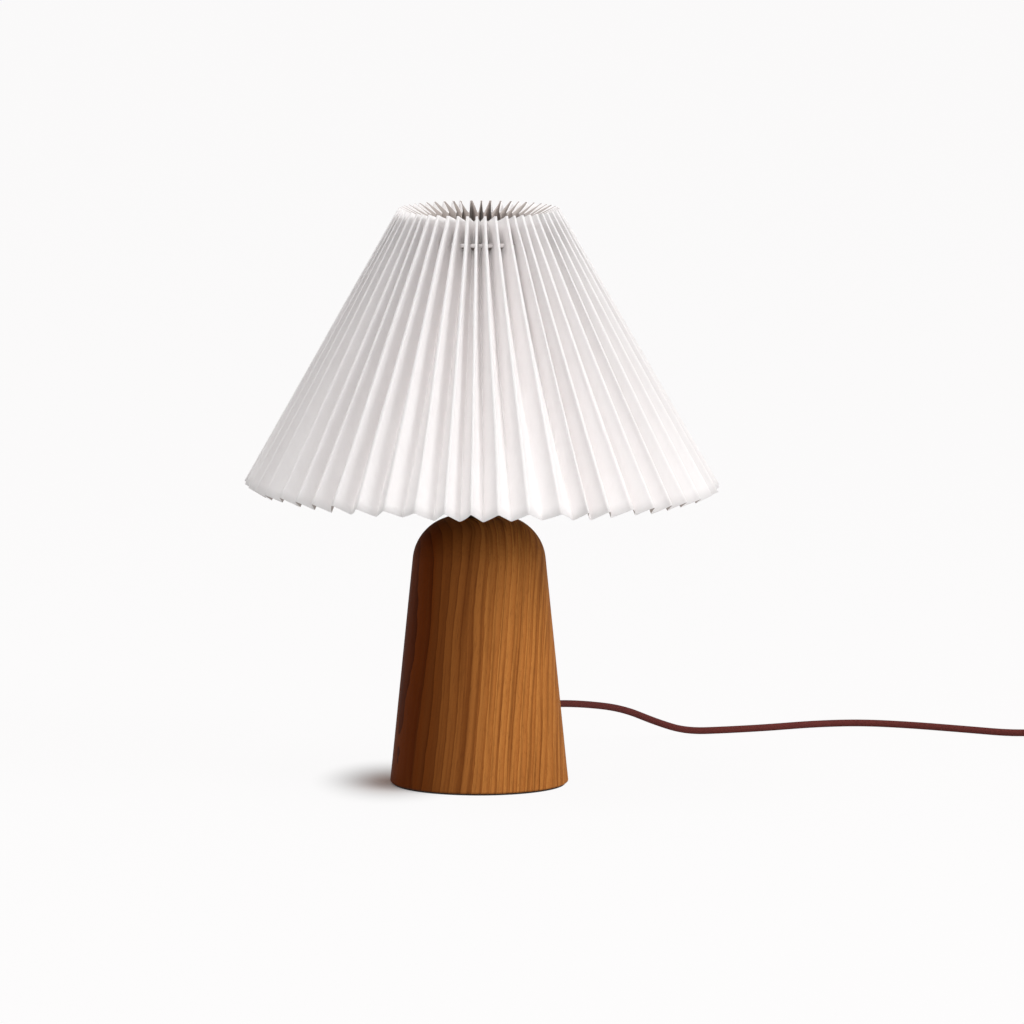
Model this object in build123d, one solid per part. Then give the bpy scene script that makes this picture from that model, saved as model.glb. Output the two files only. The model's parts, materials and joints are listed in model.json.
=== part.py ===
from build123d import *
from math import atan, cos, hypot, pi, radians, sin, sqrt, tan
import os

# A table lamp: a turned wooden base with a rounded shoulder, and a wide cone of
# pleated paper that hangs on a wire ring in notches of its inner folds.
# Millimetres. The origin is on the surface that the lamp stands on, on the
# lamp's axis. +Z is up, and +Y points away from the viewer.

# ---- driving dimensions -------------------------------------------------------

# Turned wooden base
base_radius = 75.0
base_height = 226.0
base_taper = 0.101            # radius lost per millimetre of height
shoulder_radius = 39.0
base_edge = 1.2               # chamfer at the foot
cavity_radius = 28.0          # bored from below, for the nut and the lead's bend
cavity_height = 92.0

# Felt under the base
felt_thickness = 1.5
felt_inset = 1.5

# Threaded tube, nut and washers that hold the lampholder down
tube_radius = 5.0
tube_bore = 3.9
tube_below = 9.0              # length of tube that shows in the cavity
tube_above = 9.0              # length of tube inside the lampholder
nut_flats = 14.0
nut_height = 5.0
washer_radius = 14.0
washer_thickness = 1.6
neck_radius = 16.0
neck_thickness = 2.0
neck_step = 1.2               # height of the washer's upright rim

# Lampholder for a 27 mm screw cap
cap_height = 24.0
cap_bottom_radius = 12.0
cap_shoulder = 12.0           # height at which the bell is at its widest
cap_wall = 2.0
shell_radius = 19.5
shell_wall = 2.4
shell_height = 33.0
flange_radius = 22.5
flange_height = 3.0
core_height = 12.0
core_drop = 3.0               # how far the core reaches down into the cap
sleeve_wall = 0.5
sleeve_height = 21.0
terminal_radius = 2.2
terminal_height = 6.0
terminal_head = 1.2           # part of a terminal screw that stands out
terminal_offset = 9.5
strip_length = 16.0
strip_width = 5.0
strip_thickness = 0.8
button_radius = 3.0
button_height = 1.6

# Screw-cap bulb
screw_cap_radius = 13.2
screw_cap_height = 22.0
contact_radius = 4.2
contact_height = 1.6
insulator_height = 2.6
cap_roll = 1.4                # rounding at the screw cap's lower end
bulb_radius = 30.0
bulb_length = 108.0           # from the tip of the contact to the top
housing_height = 36.0

# Wire carrier of the shade
wire_radius = 1.2
wire_sides = 6
leg_wire_radius = 1.5
leg_count = 3
fitter_outer = 31.0
fitter_thickness = 1.6
leg_foot_radius = 28.6
collar_radius = 26.0          # locking ring that clamps the fitter ring
collar_height = 11.0
collar_rim = 3.0
collar_neck = 22.5

# Pleated paper shade
pleat_count = 52
fold_width = 17.8             # paper between an outer fold and an inner fold
paper_thickness = 0.5
shade_top_radius = 67.5       # outer folds at the top
shade_top_height = 485.0
shade_bottom_radius = 199.5   # outer folds at the bottom
shade_bottom_height = 252.5
ring_drop = 20.5              # along a fold, from the paper's upper edge to the ring
fold_steps = (0.5,)           # where each panel is divided along its length

# Cord and what is on it
cord_radius = 3.0
cord_sides = 6
bush_radius = 5.0
bush_flange_radius = 7.5
bush_flange = 2.0
bush_depth = 12.0
bush_nose = 20.0
bush_lip = 0.9                # wall at the nose's thin end
exit_height = 52.0
exit_azimuth = 62.0           # degrees from +X towards +Y
lead_hole_radius = 3.8
lead_bend = 24.0

# In-line rocker switch
switch_length = 62.0
switch_width = 27.0
switch_height = 17.0
switch_wall = 1.8
switch_end_width = 13.0
switch_foot_gap = 0.2         # the switch hangs this little above the table
switch_edge = 2.0
screw_post_radius = 3.4
screw_offset = 17.0
rocker_length = 20.0
rocker_width = 12.0
rocker_pin_radius = 1.4
rocker_depth = 3.2            # below the pivot
rocker_rise = 2.6             # of the wing tips above the pivot
rocker_dip = 1.5              # of the middle below the wing tips
rocker_swing = 14.0           # degrees between off and on
switch_screw_radius = 1.5

# Two-pin plug
plug_length = 34.0
plug_width = 26.0
plug_neck_width = 12.0
plug_height = 13.7
plug_relief_length = 15.0
plug_relief_radius = 5.0
plug_relief_root = 4.0        # solid end of the relief, where the cord stops
plug_waist = 9.0              # from the body's cord end to the waist's middle
plug_flare = 19.0             # from the body's cord end to its full width
plug_edge = 2.0
pin_root = 6.0
pin_radius = 2.0
pin_length = 19.0
pin_spacing = 18.6

# Coil of spare cord
coil_start_radius = 43.5
coil_pitch = 6.5              # from turn to turn, and from layer to layer
coil_half_turns_in = 5
coil_half_turns_out = 3
tie_width = 9.0
tie_thickness = 0.8
tie_corner = 3.5
tie_room = 1.4                # beside the turns, which curve within the strap's width

# Clearances
screw_clearance = 0.1         # a screw cap in its sleeve
running_clearance = 0.3       # pieces of different bodies that face each other
slide_fit = 0.05              # a pin or a tube in its bore
press_clearance = 0.02        # pieces pushed or glued into each other
weld_depth = 0.6              # how far welded wires run into each other


# ---- small helpers ------------------------------------------------------------

def turned(*outline):
    """A solid of revolution about the lamp's axis from (radius, height) points."""
    return revolve(Plane.XZ * make_face(Polyline(*outline, close=True)), Axis.Z)


def tube_piece(inner, outer, low, high):
    """A plain ring about the lamp's axis."""
    return turned((inner, low), (outer, low), (outer, high), (inner, high))


def rod(radius, start, end):
    """A round bar between two points."""
    along = Vector(*end) - Vector(*start)
    return Solid.make_cylinder(radius, along.length, Plane(origin=start, z_dir=along))


def at_azimuth(radius, azimuth, height):
    """The point at a radius, an azimuth in degrees and a height."""
    return (radius * cos(radians(azimuth)), radius * sin(radians(azimuth)), height)


# ---- wooden base --------------------------------------------------------------

wood_foot = felt_thickness
neck_bottom = base_height
tube_bottom = cavity_height - tube_below


def base_radius_at(height):
    """Radius of the tapered side at a height."""
    return base_radius - base_taper * height


wall_at_exit = base_radius_at(exit_height)


def along_exit(distance, height=exit_height):
    """A point on the line on which the cord leaves the base."""
    return at_azimuth(distance, exit_azimuth, height)


def wooden_base():
    """A tapered round block with a filleted shoulder, bored for tube, nut and lead."""
    foot = base_radius_at(wood_foot)
    outline = make_face(Polyline(
        (0, wood_foot),
        (foot - base_edge, wood_foot),
        (foot, wood_foot + base_edge),
        (base_radius_at(base_height), base_height),
        (0, base_height),
        close=True,
    ))
    corner = outline.vertices().sort_by_distance((base_radius_at(base_height), base_height))[0]
    block = revolve(Plane.XZ * fillet(corner, shoulder_radius), Axis.Z)
    cavity = tube_piece(0, cavity_radius, wood_foot, cavity_height)
    bore = tube_piece(0, tube_radius + slide_fit, cavity_height, base_height)
    lead_hole = rod(lead_hole_radius, along_exit(0), along_exit(base_radius))
    bush_end = wall_at_exit - bush_flange
    bush_hole = rod(bush_radius + press_clearance, along_exit(bush_end - bush_depth), along_exit(base_radius))
    seat = rod(bush_flange_radius + press_clearance, along_exit(bush_end), along_exit(base_radius))
    return block - cavity - bore - lead_hole - bush_hole - seat


def felt_pad():
    """The felt disc that covers the cavity and carries the lamp."""
    return tube_piece(0, base_radius_at(0) - felt_inset - base_edge, 0, felt_thickness)


# ---- cord bush and the lead inside --------------------------------------------

def cord_bush():
    """A flanged bush in the base's side, with a tapered nose round the cord."""
    bore = cord_radius + slide_fit
    shank = [(bore, -bush_depth), (bush_radius, -bush_depth), (bush_radius, 0), (bush_flange_radius, 0)]
    nose = [(bush_flange_radius, bush_flange), (bush_radius, bush_flange),
            (cord_radius + bush_lip, bush_flange + bush_nose), (bore, bush_flange + bush_nose)]
    piece = turned(*shank, *nose)
    seat = Plane(origin=along_exit(wall_at_exit - bush_flange), z_dir=along_exit(1, 0))
    return seat * piece


def inner_lead():
    """The cord inside: in through the bush, round a bend in the cavity and up the tube."""
    start = along_exit(wall_at_exit + bush_nose)
    corner = (0, 0, exit_height)
    top = (0, 0, lead_top)
    path = FilletPolyline(start, corner, top, radius=lead_bend)
    return sweep(cord_section(start, Vector(*corner) - Vector(*start)), path)


# ---- tube, nut, washers and lampholder ------------------------------------------

cap_bottom = neck_bottom + neck_thickness
cap_top = cap_bottom + cap_height
tube_top = cap_bottom + tube_above
core_bottom = cap_top - core_drop
lead_top = core_bottom
flange_top = cap_top + flange_height
shell_top = cap_top + shell_height
sleeve_bottom = core_bottom + core_height
sleeve_inner = screw_cap_radius + screw_clearance
shell_inner = shell_radius - shell_wall


def threaded_tube():
    """The hollow tube from the cavity to the lampholder."""
    return tube_piece(tube_bore, tube_radius, tube_bottom, tube_top)


def tube_washer():
    """The washer against the cavity's ceiling."""
    return tube_piece(tube_radius + slide_fit, washer_radius, cavity_height - washer_thickness, cavity_height)


def tube_nut():
    """The hexagonal nut under the washer."""
    high = cavity_height - washer_thickness
    flats = RegularPolygon(nut_flats / 2, 6, major_radius=False) - Circle(tube_radius + press_clearance)
    return Pos(0, 0, high - nut_height) * extrude(flats, nut_height)


def neck_washer():
    """The stepped disc between the base's flat top and the lampholder."""
    bore = tube_radius + slide_fit
    return turned((bore, neck_bottom), (neck_radius, neck_bottom), (neck_radius, neck_bottom + neck_step),
                  (neck_radius - neck_thickness, cap_bottom), (bore, cap_bottom))


def holder_cap():
    """The lampholder's lower cap: a thin bell with the tube's threaded boss."""
    bore = tube_radius + press_clearance
    boss = tube_radius + cap_wall
    shoulder = cap_bottom + cap_shoulder
    floor_top = cap_bottom + cap_wall
    return turned(
        (bore, cap_bottom), (cap_bottom_radius, cap_bottom), (shell_radius, shoulder), (shell_radius, cap_top),
        (shell_radius - cap_wall, cap_top), (shell_radius - cap_wall, shoulder + cap_wall / 2),
        (cap_bottom_radius - cap_wall, floor_top), (boss, floor_top), (boss, tube_top), (bore, tube_top),
    )


def holder_shell():
    """The outer sleeve with the flange that the fitter ring rests on."""
    return turned(
        (shell_inner, cap_top), (flange_radius, cap_top), (flange_radius, flange_top),
        (shell_radius, flange_top), (shell_radius, shell_top - 1), (shell_radius - 1, shell_top),
        (shell_inner + 0.6, shell_top), (shell_inner, shell_top - 0.6),
    )


def terminal_bars(radius, low, height):
    """Two upright bars where the terminals are."""
    bar = Cylinder(radius, height, align=(Align.CENTER, Align.CENTER, Align.MIN))
    return [Pos(side * terminal_offset, 0, low) * bar for side in (-1, 1)]


def holder_core():
    """The insulating block that carries the contacts and the screw sleeve."""
    plug = shell_radius - cap_wall - 3 * slide_fit
    radius = shell_inner - slide_fit
    block = turned((0, core_bottom), (plug, core_bottom), (plug, cap_top), (radius, cap_top),
                   (radius, sleeve_bottom), (0, sleeve_bottom))
    return block - terminal_bars(terminal_radius + press_clearance, core_bottom, terminal_height - 1)


def terminal_screws():
    """The two screws that clamp the lead's wires under the core."""
    return Compound(children=terminal_bars(terminal_radius, core_bottom - terminal_head, terminal_height))


def holder_sleeve():
    """The metal screw sleeve."""
    return tube_piece(sleeve_inner, sleeve_inner + sleeve_wall, sleeve_bottom, sleeve_bottom + sleeve_height)


def centre_contact():
    """The sprung contact strip in the middle of the core."""
    strip = Box(strip_length, strip_width, strip_thickness, align=(Align.CENTER, Align.CENTER, Align.MIN))
    button = Cylinder(button_radius, button_height, align=(Align.CENTER, Align.CENTER, Align.MIN))
    return Pos(0, 0, sleeve_bottom) * (strip + button)


# ---- bulb -----------------------------------------------------------------------

contact_low = sleeve_bottom + button_height + slide_fit
insulator_low = contact_low + contact_height
screw_cap_low = insulator_low + insulator_height
screw_cap_top = screw_cap_low + screw_cap_height
housing_top = screw_cap_top + housing_height
bulb_top = contact_low + bulb_length
bulb_centre = bulb_top - bulb_radius
joint_radius = sqrt(bulb_radius ** 2 - (bulb_centre - housing_top) ** 2)


def bulb_contact():
    """The solder tip under the bulb."""
    return tube_piece(0, contact_radius, contact_low, insulator_low)


def bulb_insulator():
    """The black glass cone between the tip and the screw cap."""
    return turned((0, insulator_low), (contact_radius + 1, insulator_low),
                  (screw_cap_radius - cap_roll, screw_cap_low), (0, screw_cap_low))


def bulb_cap():
    """The metal screw cap."""
    return turned((0, screw_cap_low), (screw_cap_radius - cap_roll, screw_cap_low),
                  (screw_cap_radius, screw_cap_low + cap_roll), (screw_cap_radius, screw_cap_top), (0, screw_cap_top))


def bulb_housing():
    """The plastic neck that flares from the cap to the globe."""
    root = screw_cap_radius - slide_fit
    middle = (0.45 * (root + joint_radius), (screw_cap_top + housing_top) / 2)
    outline = Polyline((joint_radius, housing_top), (0, housing_top), (0, screw_cap_top), (root, screw_cap_top))
    flare = ThreePointArc((root, screw_cap_top), middle, (joint_radius, housing_top))
    return revolve(Plane.XZ * make_face(outline + flare), Axis.Z)


def bulb_globe():
    """The opal diffuser: a ball cut off where the housing holds it."""
    side = (bulb_radius, bulb_centre)
    dome = ThreePointArc((joint_radius, housing_top), side, (0, bulb_top))
    outline = Line((0, housing_top), (joint_radius, housing_top)) + dome + Line((0, bulb_top), (0, housing_top))
    return revolve(Plane.XZ * make_face(outline), Axis.Z)


# ---- pleated shade --------------------------------------------------------------
# The paper is one strip with straight folds a constant width apart, and its two
# long edges are square to the folds. Gathered into a cone, an outer fold's
# tips are higher than the inner folds' tips beside it, and the pleats are
# deeper at the narrow top than at the wide bottom.

lean = atan((shade_bottom_radius - shade_top_radius) / (shade_top_height - shade_bottom_height))
half_pleat = pi / pleat_count
notch_centre = wire_radius + 0.1              # from an inner fold out to the ring
notch_reach = notch_centre + (wire_radius + running_clearance) * sqrt(2)


def pleat_depth(radius):
    """Depth of a pleat, square to the outer fold, where the outer fold has this radius."""
    share = sin(half_pleat / 2) ** 2
    shift = 2 * radius * cos(lean) * share
    return shift + sqrt(shift ** 2 - 4 * radius ** 2 * share + fold_width ** 2)


def fold_tip(radius, height, inner, under):
    """Radius and height of a fold, on the paper's outer or under side, where the outer fold is here."""
    depth = pleat_depth(radius)
    across = radius if inner else radius - depth * cos(lean)
    inset = depth if inner else 0
    if under:
        inset += paper_thickness * fold_width / (across * sin(half_pleat))
    return radius - inset * cos(lean), height - inset * sin(lean)


def fold_place(share, inner, under):
    """Radius and height on a fold, at a share of its length from top to bottom."""
    radius = shade_top_radius + share * (shade_bottom_radius - shade_top_radius)
    height = shade_top_height + share * (shade_bottom_height - shade_top_height)
    return fold_tip(radius, height, inner, under)


def fold_point(number, share, under):
    """A point on a fold: even numbers are outer folds, odd numbers inner folds."""
    radius, height = fold_place(share, number % 2 == 1, under)
    angle = number * half_pleat
    return Vector(radius * cos(angle), radius * sin(angle), height)


fold_length = hypot(shade_bottom_radius - shade_top_radius, shade_top_height - shade_bottom_height)
notch_share = ring_drop / fold_length
notch_radius, notch_height = fold_place(notch_share, True, False)
ring_radius = notch_radius + notch_centre * cos(lean)
ring_height = notch_height + notch_centre * sin(lean)


def patch(a, b, c, d):
    """The ruled face between the lines a-b and d-c."""
    return Face.make_surface_from_curves(Edge.make_line(a, b), Edge.make_line(d, c))


def panel_skin(outer, inner, under):
    """One side of a panel between two folds, with its half of the notch, and the points of its rim."""
    edge_fold = fold_place(notch_share, True, True)[0] if under else notch_radius
    reach = notch_reach + (notch_radius - edge_fold) / cos(lean)
    above = notch_share - reach / fold_length
    below = notch_share + reach / fold_length
    shares = (0, above, notch_share, below, *fold_steps, 1)
    out = [fold_point(outer, share, under) for share in shares]
    ins = [fold_point(inner, share, under) for share in shares]
    tip = ins[2] + (out[2] - ins[2]) * (reach / (out[2] - ins[2]).length)
    faces = [
        patch(out[0], out[1], ins[1], ins[0]),
        patch(out[1], out[2], tip, ins[1]),
        patch(out[2], out[3], ins[3], tip),
    ]
    for step in range(3, len(shares) - 1):
        faces.append(patch(out[step], out[step + 1], ins[step + 1], ins[step]))
    return faces, (out[0], ins[0]), (ins[1], tip, ins[3]), (ins[-1], out[-1])


def pleated_shade():
    """Two skins of ruled panels, joined round the paper's edges and round each notch."""
    faces = []
    for panel in range(2 * pleat_count):
        outer, inner = (panel, panel + 1) if panel % 2 == 0 else (panel + 1, panel)
        skin, *skin_rims = panel_skin(outer, inner, False)
        lining, *lining_rims = panel_skin(outer, inner, True)
        faces += skin + lining
        for rim, under_rim in zip(skin_rims, lining_rims):
            for n in range(len(rim) - 1):
                faces.append(patch(rim[n], rim[n + 1], under_rim[n + 1], under_rim[n]))
    return Solid(Shell(Face.sew_faces(faces)[0]))


def carrier_ring():
    """The wire ring in the notches of the inner folds."""
    section = Pos(ring_radius, ring_height) * RegularPolygon(wire_radius, wire_sides)
    return revolve(Plane.XZ * section, Axis.Z)


fitter_low = flange_top + running_clearance
fitter_high = fitter_low + fitter_thickness
fitter_inner = shell_radius + running_clearance + 0.4
collar_low = fitter_high + running_clearance


def fitter_ring():
    """The flat ring that sits on the lampholder's flange."""
    return tube_piece(fitter_inner, fitter_outer, fitter_low, fitter_high)


def frame_legs():
    """The straight wires from the fitter ring up to the carrier ring, each under an outer fold."""
    legs = []
    for number in range(leg_count):
        azimuth = 360 / pleat_count * round((number + 0.25) * pleat_count / leg_count)
        foot = at_azimuth(leg_foot_radius, azimuth, fitter_high - weld_depth)
        head = at_azimuth(ring_radius, azimuth, ring_height - wire_radius + weld_depth)
        legs.append(rod(leg_wire_radius, foot, head))
    return Compound(children=legs)


def locking_collar():
    """The threaded ring that clamps the fitter ring on the lampholder."""
    bore = shell_radius + slide_fit
    high = collar_low + collar_height
    return turned((bore, collar_low), (collar_radius, collar_low), (collar_radius, collar_low + collar_rim),
                  (collar_neck, high - 1), (collar_neck - 1, high), (bore, high))


# ---- cord route -----------------------------------------------------------------
# The cord leaves the back of the base level with the table, droops to it in a
# shallow arch, wanders off to the right through the switch and ends in the coil.

switch_heading = -28.0
switch_start = (521.0, 237.5)
plug_heading = 176.0
plug_start = (642.0, 250.0)
coil_centre = (690.0, 206.2)


def ahead(point, heading, distance, height):
    """A point at a distance along a heading on the table, at a height."""
    return (point[0] + distance * cos(radians(heading)), point[1] + distance * sin(radians(heading)), height)


floor = cord_radius
switch_axis = switch_height / 2
plug_axis = plug_height / 2 + 0.15
coil_low = floor + tie_thickness + running_clearance
coil_high = coil_low + coil_pitch
coil_first = (coil_centre[0], coil_centre[1] - coil_start_radius)
coil_last = (coil_centre[0], coil_centre[1] + coil_start_radius)
straight_end = 2 * cord_radius

lead_route = [
    along_exit(wall_at_exit + bush_nose),
    along_exit(wall_at_exit + bush_nose + 34.0),
    (88.0, 160.0, 44.5),
    (122.0, 214.0, 33.0),
    (152.0, 251.0, 15.5),
    (178.0, 274.0, 4.4),
    (212.0, 292.0, floor),
    (250.0, 307.0, floor),
    (290.0, 329.0, floor),
    (331.0, 337.0, floor),
    (373.0, 322.0, floor),
    (418.0, 296.5, floor),
    (464.0, 268.5, floor),
    ahead(switch_start, switch_heading, -26.0, switch_axis),
    (*switch_start, switch_axis),
]
switch_end = ahead(switch_start, switch_heading, switch_length, switch_axis)
tail_route = [
    switch_end,
    ahead(switch_end, switch_heading, 26.0, switch_axis),
    (628.0, 175.5, floor + 0.6),
    (657.0, coil_first[1], coil_low),
    (coil_first[0] - straight_end, coil_first[1], coil_low),
]
plug_route = [
    (coil_last[0] - straight_end, coil_last[1], coil_high),
    (coil_last[0] - straight_end - 12.0, coil_last[1], coil_high),
    ahead(plug_start, plug_heading, -12.0, plug_axis),
    (*plug_start, plug_axis),
]


def bend_radii(route):
    """For each corner, 0.45 of its shorter run over the tangent of half the turn."""
    radii = []
    for before, here, after in zip(route, route[1:], route[2:]):
        run_in = Vector(*here) - Vector(*before)
        run_out = Vector(*after) - Vector(*here)
        turn = radians(run_in.get_angle(run_out))
        radii.append(0.45 * min(run_in.length, run_out.length) / tan(turn / 2))
    return radii


def cord_section(point, along):
    """The cord's many-sided section, square to its path, with a flat below."""
    plane = Plane(origin=point, x_dir=Vector(*along).cross(Vector(0, 0, 1)), z_dir=along)
    return plane * Rot(0, 0, 180 / cord_sides - 90) * RegularPolygon(cord_radius, cord_sides)


def cord_tube(name, route):
    """A stretch of cord: straight runs joined by tangent arcs."""
    radii = bend_radii(route)
    path = FilletPolyline(*route, radius=radii)
    tube = sweep(cord_section(route[0], Vector(*route[1]) - Vector(*route[0])), path)
    section = RegularPolygon(cord_radius, cord_sides).area
    print(name, "length", round(path.length, 1), "volume ratio", round(tube.volume / (section * path.length), 4))
    print(name, "bend radii", [round(radius, 1) for radius in radii])
    return tube


def coil_arcs():
    """Half turns that spiral in, climb a layer, and spiral out again, as (start, middle, end)."""
    inwards = [coil_start_radius - coil_pitch / 2 * n for n in range(coil_half_turns_in + 1)]
    outwards = [inwards[-1] + coil_pitch / 2 * (n + 1) for n in range(coil_half_turns_out)]
    across, side, height = -coil_start_radius, 1, coil_low
    arcs = []
    for number, radius in enumerate(inwards + outwards):
        climb = coil_pitch if number == coil_half_turns_in else 0
        start = Vector(coil_centre[0], coil_centre[1] + across, height)
        across += 2 * radius * side
        end = Vector(coil_centre[0], coil_centre[1] + across, height + climb)
        middle = (start + end) * 0.5 + Vector(radius * side, 0, 0)
        arcs.append((start, middle, end))
        height += climb
        side = -side
    return arcs


def least_gap(path, turn_share):
    """The smallest gap between points of the path that lie at least part of a turn apart."""
    count = 720
    points = [path.position_at(n / count) for n in range(count + 1)]
    apart = int(turn_share * count)
    return min(
        (points[a] - points[b]).length
        for a in range(count + 1)
        for b in range(a + apart, count + 1)
    ) - 2 * cord_radius


def cord_coil():
    """The spare cord, wound in two layers as one unbroken tube with straight ends."""
    arcs = coil_arcs()
    first = arcs[0][0]
    last = arcs[-1][2]
    edges = [Edge.make_line(first - Vector(straight_end, 0, 0), first)]
    edges += [ThreePointArc(*arc).edge() for arc in arcs]
    edges.append(Edge.make_line(last, last - Vector(straight_end, 0, 0)))
    path = Wire(edges)
    print("coil length", round(path.length, 1), "least gap", round(least_gap(path, 0.06), 2))
    return sweep(cord_section(first - Vector(straight_end, 0, 0), (1, 0, 0)), path)


def cord_tie():
    """The strap round the coil's turns on one side."""
    inner_edge = coil_start_radius - coil_pitch / 2 * (coil_half_turns_in - 1) - cord_radius
    outer_edge = coil_start_radius + cord_radius
    room = running_clearance
    width = outer_edge - inner_edge + 2 * tie_room
    height = coil_high + cord_radius + room - (coil_low - cord_radius - room)
    ring = RectangleRounded(width + 2 * tie_thickness, height + 2 * tie_thickness, tie_corner)
    ring -= RectangleRounded(width, height, tie_corner - tie_thickness)
    middle = (
        coil_centre[0] + (inner_edge + outer_edge) / 2,
        coil_centre[1] + coil_pitch / 2,
        coil_low - cord_radius - room + height / 2,
    )
    return Plane(origin=middle, x_dir=(1, 0, 0), z_dir=(0, -1, 0)) * extrude(ring, tie_width / 2, both=True)


# ---- in-line switch ---------------------------------------------------------------

switch_centre = ahead(switch_start, switch_heading, switch_length / 2, 0)
switch_place = Plane(
    origin=switch_centre,
    x_dir=(cos(radians(switch_heading)), sin(radians(switch_heading)), 0),
    z_dir=(0, 0, 1),
)
rocker_pivot = switch_height - 4.0
switch_split = switch_axis


def switch_outline(inset):
    """The switch seen from above: long sides bowed out, ends cut square to the cord."""
    half_length = switch_length / 2 - inset
    half_width = switch_width / 2 - inset
    end_width = switch_end_width / 2 - inset
    side = ThreePointArc((-half_length, end_width), (0, half_width), (half_length, end_width))
    other = ThreePointArc((half_length, -end_width), (0, -half_width), (-half_length, -end_width))
    ends = Line((half_length, end_width), (half_length, -end_width))
    return make_face(side + ends + other + Line((-half_length, -end_width), (-half_length, end_width)))


def switch_screw_places():
    """Where the two screws hold the shells together."""
    return [(-screw_offset, 0.0), (screw_offset, 0.0)]


def switch_base():
    """The lower shell: a tray with two screw posts, half of each cord inlet."""
    shell = Pos(0, 0, switch_foot_gap) * extrude(switch_outline(0), switch_split - switch_foot_gap)
    shell -= Pos(0, 0, switch_wall) * extrude(switch_outline(switch_wall), switch_height)
    for x, y in switch_screw_places():
        post = Cylinder(screw_post_radius, switch_split - 1.0, align=(Align.CENTER, Align.CENTER, Align.MIN))
        hole = Cylinder(switch_screw_radius + slide_fit, switch_height, align=(Align.CENTER, Align.CENTER, Align.MIN))
        shell = shell + Pos(x, y, 1.0) * post - Pos(x, y, 0) * hole
    return switch_place * shell


def switch_cover():
    """The upper shell: a bowed lid with the rocker's window and its pivot holes."""
    body = Pos(0, 0, switch_split) * extrude(switch_outline(0), switch_height - switch_split)
    top_edges = body.faces().sort_by(Axis.Z)[-1].edges()
    body = chamfer(top_edges, switch_edge)
    hollow = extrude(switch_outline(switch_wall), switch_height - switch_wall - switch_split)
    body -= Pos(0, 0, switch_split) * hollow
    frame = Box(rocker_length + 4, rocker_width + 4, switch_height - switch_split - 1.2,
                align=(Align.CENTER, Align.CENTER, Align.MIN))
    body += Pos(0, 0, switch_split) * frame
    body -= Pos(0, 0, switch_split) * Box(
        rocker_length + 2 * running_clearance, rocker_width + 2 * running_clearance, switch_height,
        align=(Align.CENTER, Align.CENTER, Align.MIN))
    body -= Pos(0, 0, rocker_pivot) * Rot(90, 0, 0) * Cylinder(
        rocker_pin_radius + slide_fit, rocker_width + 3)
    for x, y in switch_screw_places():
        post = Cylinder(screw_post_radius, switch_height - switch_split - 1.0,
                        align=(Align.CENTER, Align.CENTER, Align.MIN))
        hole = Cylinder(switch_screw_radius + slide_fit, 5, align=(Align.CENTER, Align.CENTER, Align.MIN))
        body = body + Pos(x, y, switch_split) * post - Pos(x, y, switch_split) * hole
    return switch_place * body


def switch_rocker():
    """The rocking key: two slanted wings over a barrel with pivot pins, resting at off."""
    reach = rocker_length / 2 - 1.2
    wing_low = 0.6
    foot = 3.6
    outline = Polyline(
        (-reach, wing_low), (-reach, rocker_rise), (0, rocker_rise - rocker_dip), (reach, rocker_rise),
        (reach, wing_low), (foot, -rocker_depth), (-foot, -rocker_depth), close=True)
    key = Rot(90, 0, 0) * extrude(make_face(outline), rocker_width / 2 - 0.2, both=True)
    pins = Rot(90, 0, 0) * Cylinder(rocker_pin_radius, rocker_width + 2.4)
    return switch_place * Pos(0, 0, rocker_pivot) * Rot(0, -rocker_swing / 2, 0) * (key + pins)


def switch_screws():
    """The two screws from below."""
    screws = [
        switch_place * Pos(x, y, 1.2) * Cylinder(
            switch_screw_radius, switch_split + 2.4, align=(Align.CENTER, Align.CENTER, Align.MIN))
        for x, y in switch_screw_places()
    ]
    return Compound(children=screws)


# ---- plug ---------------------------------------------------------------------------

plug_place = Plane(
    origin=(*plug_start, plug_axis),
    x_dir=(cos(radians(plug_heading)), sin(radians(plug_heading)), 0),
    z_dir=(0, 0, 1),
)


def plug_relief():
    """The tapered sleeve where the cord enters the plug."""
    start = Plane(origin=(0, 0, 0), z_dir=(1, 0, 0))
    taper = Solid.make_cone(cord_radius + bush_lip, plug_relief_radius, plug_relief_length, start)
    bore = Solid.make_cylinder(cord_radius + slide_fit, plug_relief_length - plug_relief_root, start)
    return plug_place * (taper - bore)


plug_front = plug_relief_length + plug_length


def plug_body():
    """The flat moulded body, waisted towards the cord."""
    neck = plug_neck_width / 2
    half = plug_width / 2
    cord_end = plug_relief_length
    waist = cord_end + plug_waist
    flare = cord_end + plug_flare
    outline = make_face(
        Line((cord_end, -neck), (cord_end, neck))
        + ThreePointArc((cord_end, neck), (waist, neck + 1.4), (flare, half))
        + Polyline((flare, half), (plug_front, half), (plug_front, -half), (flare, -half))
        + ThreePointArc((flare, -half), (waist, -neck - 1.4), (cord_end, -neck))
    )
    body = Pos(0, 0, -plug_height / 2) * extrude(outline, plug_height)
    rims = body.faces().sort_by(Axis.Z)[0].edges() + body.faces().sort_by(Axis.Z)[-1].edges()
    body = chamfer(rims, plug_edge)
    for side in (-1, 1):
        socket = Cylinder(pin_radius + press_clearance, 2 * pin_root)
        body -= Pos(plug_front, pin_spacing / 2 * side, 0) * Rot(0, 90, 0) * socket
    return plug_place * body


def plug_pins():
    """The two round pins, rooted in the body."""
    pins = []
    for side in (-1, 1):
        pin = Cylinder(pin_radius, pin_length + pin_root, align=(Align.CENTER, Align.CENTER, Align.MIN))
        pin = chamfer(pin.edges().sort_by(Axis.Z)[-1], pin_radius / 2)
        pins.append(plug_place * Pos(plug_front - pin_root, pin_spacing / 2 * side, 0) * Rot(0, 90, 0) * pin)
    return Compound(children=pins)


# ---- all pieces -----------------------------------------------------------------------

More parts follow.
